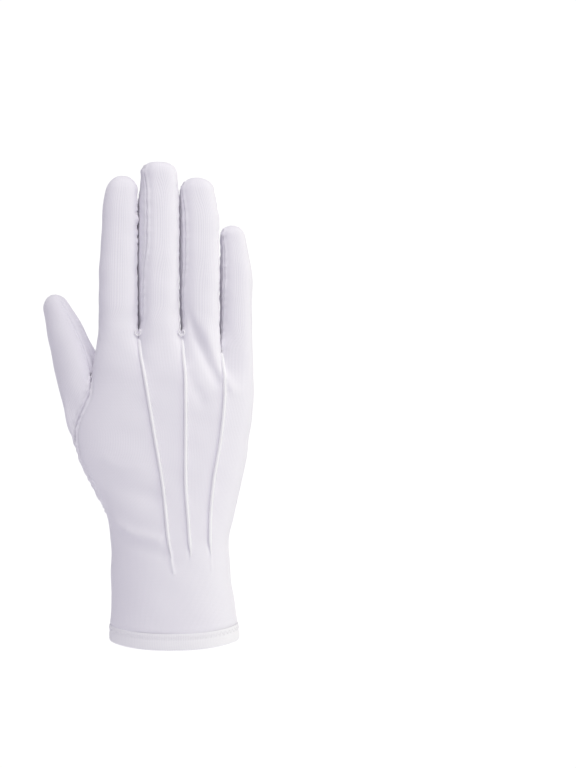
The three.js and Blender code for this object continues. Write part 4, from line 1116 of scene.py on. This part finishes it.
def knit_material(name, colour, look, relief):
    """Knitted cloth: its own colour, with painted shade between the ribs and a random deeper tone in
    slow clouds, a matt surface with a soft sheen, and the loops' relief."""

    def inputs_for(tree):
        knit = add_node(tree, "ShaderNodeUVMap", {}, uv_map="knit")
        given = {
            "Map": knit.outputs["UV"],
            "Rib Spacing": look.rib_spacing,
            "Loop Length": look.loop_length,
        }
        loops = add_node(tree, "ShaderNodeGroup", given, node_tree=knit_loops_group())
        place = add_node(tree, "ShaderNodeTexCoord", {}).outputs["Object"]
        cloud = add_node(tree, "ShaderNodeTexNoise", {"Scale": 34, "Detail": 2, "Vector": place})
        # Painted shade: the colour deepens between the ribs, where the rib mask is low; the clouds add a
        # random deeper tone.
        between = math_node(tree, "SUBTRACT", 1.0, loops.outputs["Mask"])
        factor = math_node(tree, "ADD", math_node(tree, "MULTIPLY", between, 0.9),
                           math_node(tree, "MULTIPLY", cloud.outputs[0], 0.45))
        return {
            "Base Color": shaded_colour(tree, colour, look.shade, factor),
            "Roughness": look.roughness,
            "Specular IOR Level": 0.25,
            "Sheen Weight": look.sheen,
            "Sheen Roughness": 0.45,
            "Normal": bumped(tree, loops.outputs["Height"], relief, look.rib_depth),
        }

    return new_material(name, inputs_for)


def thread_material(name, colour, look):
    """Sewing thread: two plies that wind round it, as a sine of the place, over a matt white."""

    def inputs_for(tree):
        place = add_node(tree, "ShaderNodeTexCoord", {}).outputs["Object"]
        split = add_node(tree, "ShaderNodeSeparateXYZ", {0: place}).outputs
        slant = math_node(tree, "ADD", split[0], split[2])
        ply = math_node(tree, "SINE", math_node(tree, "MULTIPLY", slant, TAU / PLY_LENGTH))
        factor = math_node(tree, "MULTIPLY_ADD", ply, 0.25, 0.25)
        return {
            "Base Color": shaded_colour(tree, colour, look.shade, factor),
            "Roughness": 0.6,
            "Sheen Weight": look.sheen,
            "Normal": bumped(tree, ply, 0.3, 0.0001),
        }

    return new_material(name, inputs_for)


def length_property(name, description, default):
    """A length in metres."""
    return FloatProperty(
        name=name, description=description, default=default, unit="LENGTH", precision=5)


def colour_property(name, description, default):
    """A colour."""
    return FloatVectorProperty(
        name=name, description=description, default=default, subtype="COLOR", size=3)


class GloveSizes(bpy.types.PropertyGroup):
    """Sizes of the cloth, its seams and its threads."""

    cloth: length_property("Cloth", "Thickness of the cloth", 0.001)
    seam_gap: length_property("Seam gap", "Space between two pieces at a seam", 0.00008)
    seam_depth: length_property("Seam depth", "How far the edges dip into a seam", 0.00045)
    seam_roll: length_property("Seam roll", "Rise of the roll beside a seam", 0.00032)
    pucker_depth: length_property("Pucker depth", "Rise and fall of the puckers", 0.00014)
    pucker_spacing: length_property("Pucker spacing", "Length of one pucker", 0.0052)
    fold_height: length_property("Fold height", "Height of the main folds", 0.0016)
    ripple_height: length_property("Ripple height", "Slow unevenness of the cloth", 0.00022)
    tuck_width: length_property("Tuck width", "Width of a raised tuck", 0.0017)
    tuck_height: length_property("Tuck height", "Height of a raised tuck", 0.0012)
    tuck_pull: length_property("Tuck pull", "Depth of the cloth drawn in beside a tuck", 0.0002)
    thumb_line: length_property("Thumb lines", "Depth of the lines down the thumb", 0.001)
    thread: length_property("Thread", "Radius of the sewing thread", 0.00014)
    loop_thread: length_property("Loop thread", "Radius of the loops at the crotches", 0.00042)
    stitch: length_property("Stitch", "Length of one stitch", 0.0024)

    def millimetres(self):
        """All sizes by name, in millimetres."""
        return {name: getattr(self, name) / MM for name in self.__annotations__}


class GloveLook(bpy.types.PropertyGroup):
    """Colours and finish of the knitted cloth."""

    cloth: colour_property("Cloth", "Colour of the glove's cloth", (0.90, 0.885, 0.935))
    # Painted shade: the finger walls get the cloth's colour a little darker, as they lie between the fingers.
    wall: colour_property("Finger walls", "Colour of the finger walls", (0.885, 0.87, 0.925))
    # Lighter colour of the doubled cloth on hem and tucks; on the raised tucks it is also a painted highlight.
    double: colour_property("Doubled cloth", "Colour of hem and tucks", (0.95, 0.945, 0.965))
    thread: colour_property("Thread", "Colour of the thread", (0.92, 0.91, 0.94))
    # Painted shade between the knit's ribs; the same share also deepens the random clouds and the thread's ply
    # lines.
    shade: colour_property(
        "Shade", "How much of each colour is left between the ribs", (0.94, 0.932, 0.955))
    roughness: FloatProperty(
        name="Roughness", description="Roughness of the knit", default=0.88, min=0, max=1)
    sheen: FloatProperty(
        name="Sheen", description="Soft sheen of the fibres", default=0.3, min=0, max=1)
    rib_spacing: length_property("Rib spacing", "Distance between the knit's ribs", 0.00085)
    rib_depth: length_property("Rib depth", "Height of the knit's ribs", 0.00009)
    loop_length: length_property("Loop length", "Length of one knitted loop", 0.0007)


class StageLook(bpy.types.PropertyGroup):
    """Camera, light and floor."""

    distance: FloatProperty(
        name="Distance", description="Camera to the glove's middle plane", default=0.9, unit="LENGTH")
    lens: FloatProperty(
        name="Lens", description="Focal length for the long side of the picture", default=81.95, unit="CAMERA")
    height: FloatProperty(
        name="Height", description="Camera above the cuff's lower edge", default=0.134, unit="LENGTH")
    turn: FloatProperty(
        name="Turn", description="How far the camera looks past the glove", default=math.radians(3.753), subtype="ANGLE")
    floor: colour_property("Floor", "Colour of the floor", (0.88, 0.88, 0.89))
    fill: FloatProperty(
        name="Fill", description="Strength of the light from all round", default=0.41)
    key: FloatProperty(name="Key", description="Power of the large light on the right", default=2.9)


SHEETS = {}


def shared_sheet():
    """The outer cloth, worked out once for all its pieces."""
    sizes = bpy.context.scene.glove_sizes.millimetres()
    if "sheet" not in SHEETS:
        SHEETS["sheet"] = glove_sheet(sizes)
    return SHEETS["sheet"], sizes


def shared_material(name):
    """One of the glove's materials, made when it is first asked for."""
    look = bpy.context.scene.glove_look
    makers = {
        "knit": lambda title: knit_material(title, look.cloth, look, 0.5),
        # The finger walls' darker knit is painted shade between the fingers.
        "knit_wall": lambda title: knit_material(title, look.wall, look, 0.5),
        # The hem and tucks get a lighter doubled knit, which on the raised tucks is also a painted highlight.
        "knit_double": lambda title: knit_material(title, look.double, look, 0.4),
        "thread": lambda title: thread_material(title, look.thread, look),
    }
    title = f"glove_{name}"
    return bpy.data.materials.get(title) or makers[name](title)


class GLOVE_OT_cloth(bpy.types.Operator):
    """The trank, the thumb and the three finger walls, cut from one surface"""

    bl_idname = "glove.cloth"
    bl_label = "Cloth pieces"

    def execute(self, context):
        sheet, sizes = shared_sheet()
        for name in ("trank", "thumb", *WALLS):
            # The finger walls take the darker knit, painted shade between the fingers.
            slot = "knit_wall" if name in WALLS else "knit"
            verts, faces, uv, facing = cloth_body(sheet, name, sizes["cloth"], sizes["seam_gap"])
            period = sheet.period.get(name, 1e9)
            piece = make_piece(f"{name}_cloth", verts, faces, uv, slot, period=period)
            directions = np.concatenate([corner.reshape(-1, 3) for corner in facing])
            piece.data.normals_split_custom_set(directions.tolist())
            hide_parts(name)
        return {"FINISHED"}


class GLOVE_OT_hem(bpy.types.Operator):
    """The doubled hem: its closed section is carried round the cuff's lower edge"""

    bl_idname = "glove.hem"
    bl_label = "Cuff hem"

    def execute(self, context):
        sheet, sizes = shared_sheet()
        angle = np.broadcast_to(sheet.hem_angle[:, None], (len(sheet.hem_angle), len(HEM_PROFILE)))
        z = hem_edge(angle) + HEM_PROFILE[:, 1] * (HEM_HEIGHT - sizes["seam_gap"])
        normal = hand_normal(angle, z, sizes) * (1, 1, 0)
        rings = hand_point(angle, z, sizes) + unit(normal) * HEM_PROFILE[:, :1]
        around = travel_along(rings[:, HEM_MEASURED])[:, None] + 0 * z
        uv = np.stack([around, z], axis=-1).reshape(-1, 2)
        piece = make_piece("cuff_hem_band", rings.reshape(-1, 3), [swept_grid(rings, True)], uv,
                           "knit_double", period=around.max() + 0.4)
        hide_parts("cuff_hem")
        return {"FINISHED"}


def tuck_path(sheet, ids):
    """Where a tuck runs on the finished cloth, its outward direction, and across it."""
    shown = level_of(sheet.flat[ids][:, 2])
    ids = ids[(shown >= TUCK_END) & (shown <= TUCK_TOP)]
    normal = sheet.normals[ids]
    side = unit(np.cross(normal, [0, 0, 1.0]) * -1)
    return sheet.flat[ids], normal, side


class GLOVE_OT_tucks(bpy.types.Operator):
    """The three raised tucks: a rounded section, narrow at its foot, carried down the back"""

    bl_idname = "glove.tucks"
    bl_label = "Tucks"

    def execute(self, context):
        sheet, sizes = shared_sheet()
        for name, ids in zip(TUCK_NAMES, sheet.tuck_ids):
            path, normal, side = tuck_path(sheet, ids)
            height = path[:, 2]
            taper = np.minimum(ease((height - height[0]) / 7), ease((height[-1] - height) / 2))
            wide = sizes["tuck_width"] * mix(0.35, 1, taper)[:, None, None]
            tall = sizes["tuck_height"] * mix(0.12, 0.92, taper)[:, None, None]
            rings = (path[:, None] + side[:, None] * TUCK_PROFILE[:, :1] * wide
                     + normal[:, None] * (0.05 + TUCK_PROFILE[:, 1:] * tall))
            ring, end = np.arange(len(TUCK_PROFILE)), rings[..., 0].size
            verts = np.vstack([rings.reshape(-1, 3), rings[[0, -1]].mean(axis=1)])
            caps = np.vstack([fan(end, ring)[:, [0, 2, 1]], fan(end + 1, ring + end - len(ring))])
            uv = np.stack(np.broadcast_arrays(ring * 0.35, height[:, None]), axis=-1)
            uv = np.vstack([uv.reshape(-1, 2), [[0, height[0]], [0, height[-1]]]])
            # The tucks take the lighter doubled knit, which also paints a highlight on their raised ridge.
            piece = make_piece(f"{name}_fold", verts, [swept_grid(rings, False), caps], uv,
                               "knit_double", 80)
            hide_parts(name)
        return {"FINISHED"}


def stitches_along(path, normals, spacing, cover, radius, height):
    """A row of stitches on a path: one for each spacing, each covering a share of it."""
    travel = travel_along(path)
    starts = np.arange(0.3 * spacing, travel[-1] - spacing, spacing)

    def at(distance, values):
        return np.stack([np.interp(distance, travel, values[:, axis]) for axis in range(3)], axis=-1)

    ends = starts + cover * spacing
    return threads(at(starts, path), at(ends, path), unit(at(starts, normals)), radius, height)


class GLOVE_OT_threads(bpy.types.Operator):
    """The threads: small stitches beside the tucks, a row on the palm beside the thumb's seam, and
    the zigzag over the hem's upper edge"""

    bl_idname = "glove.threads"
    bl_label = "Threads"

    def execute(self, context):
        sheet, sizes = shared_sheet()
        radius, spacing = sizes["thread"], sizes["stitch"]
        parts = []
        for ids in sheet.tuck_ids:
            path, normal, side = tuck_path(sheet, ids)
            foot = path + side * TUCK_FOOT * sizes["tuck_width"] + normal * THREAD_LIFT
            parts.append(stitches_along(
                foot[6:-3], normal[6:-3], spacing, 0.6, 0.7 * radius, 0.6 * radius))
        make_thread("tuck_stitches", *join(parts))

        side, up = seam_place(np.linspace(0, 1, 721))
        place = math.pi + np.radians(side), CUFF_LENGTH + up * PALM_LENGTH
        seam, normal = hand_point(*place, sizes), hand_normal(*place, sizes)
        outward = np.cross(normal, unit(np.gradient(seam, axis=0)))
        shown = (side > ROW_SIDE) & (up > ROW_LOW) & (up < ROW_HIGH)
        row, facing = nearest_point((seam + outward * STITCH_ROW)[shown], sheet)
        row = row + facing * THREAD_LIFT
        make_thread("thumb_seam_stitches", *stitches_along(
            row, normal[shown], spacing, 0.62, radius, radius))

        ring = np.linspace(0, TAU, 721)
        travel = travel_along(hand_point(ring, hem_edge(ring) + HEM_HEIGHT, sizes))
        count = 2 * int(round(travel[-1] / spacing))
        angle = np.interp(np.arange(count) / count * travel[-1], travel, ring)
        share = np.resize(ZIGZAG, count)
        z = hem_edge(angle) + share * HEM_HEIGHT
        away = unit(hand_normal(angle, z, sizes) * (1, 1, 0))
        stand = np.interp(share, HEM_PROFILE[10:18, 1], HEM_PROFILE[10:18, 0])
        row = hand_point(angle, z, sizes) + away * (stand[:, None] + 0.15 * radius)
        make_thread("hem_zigzag", *threads(row, np.roll(row, -1, axis=0), away, 0.55 * radius, 0.12))
        return {"FINISHED"}


def nearest_point(points, sheet):
    """The finished cloth's nearest place to each point, and its outward direction."""
    hand = np.concatenate(sheet.group) == HAND_GROUP
    cloth, normals = sheet.flat[hand], sheet.normals[hand]
    gaps = ((points[:, None] - cloth[None]) ** 2).sum(axis=2)
    close = np.argsort(gaps, axis=1)[:, :4]
    rows = np.arange(len(points))[:, None]
    weight = 1 / (gaps[rows, close] + 0.05)
    weight = weight / weight.sum(axis=1, keepdims=True)
    normal = unit((normals[close] * weight[..., None]).sum(axis=1))
    lift = (((cloth[close] - points[:, None]) * normal[:, None]).sum(axis=2) * weight).sum(axis=1)
    return points + normal * lift[:, None], normal


class GLOVE_OT_loops(bpy.types.Operator):
    """The two thick thread loops that hold the crotches: a U along the cloth, open upwards"""

    bl_idname = "glove.loops"
    bl_label = "Crotch loops"

    def execute(self, context):
        sheet, sizes = shared_sheet()
        parts = []
        turn = np.radians(np.linspace(135, 405, 37))
        for line in (1, 2):
            across = KNUCKLE_LINES[line] + LOOP_WIDTH / 2 * np.cos(turn)
            up = CROTCH_HEIGHT + LOOP_RISE + LOOP_HEIGHT / 2 * np.sin(turn)
            on_cloth = np.minimum(up, CROTCH_HEIGHT - 0.6)
            path = hand_point(angle_at(across, on_cloth, True), on_cloth, sizes)
            path[:, 2] = up
            path[:, 1] = mix(path[:, 1].min(), path[:, 1], 0.4) - sizes["loop_thread"]
            facing = np.broadcast_to([0, -1.0, 0], path.shape)
            radius = sizes["loop_thread"] * (1 + 0.1 * np.sin(9 * turn))
            parts.append(tube_along(path, facing, radius))
        make_thread("crotch_loops", *join(parts))
        return {"FINISHED"}


def add_floor(look):
    """A plain pale disc below the glove."""
    turn = np.linspace(0, TAU, 97)[:-1]
    reach = np.array([0.0001, 0.3, 0.7, 1.0])[:, None]
    down = np.full((len(reach), len(turn)), -FLOOR_DROP)
    disc = np.stack([reach * np.cos(turn), reach * np.sin(turn), down], axis=-1)
    mesh = bpy.data.meshes.new("floor")
    mesh.from_pydata(disc.reshape(-1, 3).tolist(), [], swept_grid(disc, False)[:, ::-1].tolist())
    mesh.materials.append(new_material("floor_paint", lambda tree: {
        "Base Color": (*look.floor, 1),
        "Roughness": 0.9,
        "Emission Color": (1, 1, 1, 1),
        "Emission Strength": FLOOR_GLOW,
    }))
    floor = add_object("floor", mesh)


def add_sky(look):
    """A white backdrop for the camera, and a soft light from all round for the glove."""
    world = bpy.data.worlds.new("studio")
    bpy.context.scene.world = world
    world.use_nodes = True
    tree = world.node_tree
    tree.nodes.clear()
    light, seen = (
        add_node(tree, "ShaderNodeBackground", {"Color": colour, "Strength": strength}).outputs[0]
        for colour, strength in ((SKY_COLOUR, look.fill), ((1, 1, 1, 1), BACKDROP)))
    path = add_node(tree, "ShaderNodeLightPath", {}).outputs["Is Camera Ray"]
    either = add_node(tree, "ShaderNodeMixShader", {})
    for socket, output in zip(either.inputs, (path, light, seen)):
        tree.links.new(output, socket)
    add_node(tree, "ShaderNodeOutputWorld", {"Surface": either.outputs[0]})


class GLOVE_OT_stage(bpy.types.Operator):
    """Floor, soft light and the camera at the photograph's angle"""

    bl_idname = "glove.stage"
    bl_label = "Stage"

    def execute(self, context):
        look = context.scene.stage_look
        add_floor(look)
        add_sky(look)
        for name, place, size, share, colour in LAMPS:
            lamp = bpy.data.lights.new(name, "AREA")
            lamp.size = size
            lamp.energy = share * look.key
            lamp.color = colour
            lit = add_object(name, lamp)
            lit.location = place
            aim = Vector(LAMP_AIM) - Vector(place)
            lit.rotation_euler = aim.to_track_quat("-Z", "Y").to_euler()
        data = bpy.data.cameras.new("camera")
        data.lens = look.lens
        data.clip_start, data.clip_end = 0.01, 20
        camera = add_object("camera", data)
        camera.location = (0, -look.distance, look.height)
        camera.rotation_euler = (math.pi / 2, 0, -look.turn)
        context.scene.camera = camera
        context.scene.view_settings.view_transform = "Standard"
        return {"FINISHED"}


class GLOVE_PT_panel(bpy.types.Panel):
    """The glove's pieces and sizes in the sidebar"""

    bl_label = "Parade glove"
    bl_idname = "GLOVE_PT_panel"
    bl_space_type = "VIEW_3D"
    bl_region_type = "UI"
    bl_category = "Parade glove"

    def draw(self, context):
        for operator in OPERATORS:
            self.layout.operator(operator.bl_idname)
        for group in (context.scene.glove_sizes, context.scene.glove_look, context.scene.stage_look):
            box = self.layout.box()
            for name in group.__annotations__:
                box.prop(group, name)


OPERATORS = (GLOVE_OT_cloth, GLOVE_OT_hem, GLOVE_OT_tucks, GLOVE_OT_threads, GLOVE_OT_loops, GLOVE_OT_stage)
GROUPS = {"glove_sizes": GloveSizes, "glove_look": GloveLook, "stage_look": StageLook}


def register():
    """Registers the groups, the operators and the panel."""
    for name, group in GROUPS.items():
        bpy.utils.register_class(group)
        setattr(bpy.types.Scene, name, PointerProperty(type=group))
    for item in (*OPERATORS, GLOVE_PT_panel):
        bpy.utils.register_class(item)


def unregister():
    """Takes them all back in the reverse order."""
    for item in (GLOVE_PT_panel, *reversed(OPERATORS)):
        bpy.utils.unregister_class(item)
    for name, group in reversed(GROUPS.items()):
        delattr(bpy.types.Scene, name)
        bpy.utils.unregister_class(group)


def main():
    register()
    bpy.ops.glove.cloth()
    bpy.ops.glove.hem()
    bpy.ops.glove.tucks()
    bpy.ops.glove.threads()
    bpy.ops.glove.loops()
    bpy.ops.glove.stage()


if __name__ == "__main__":
    main()
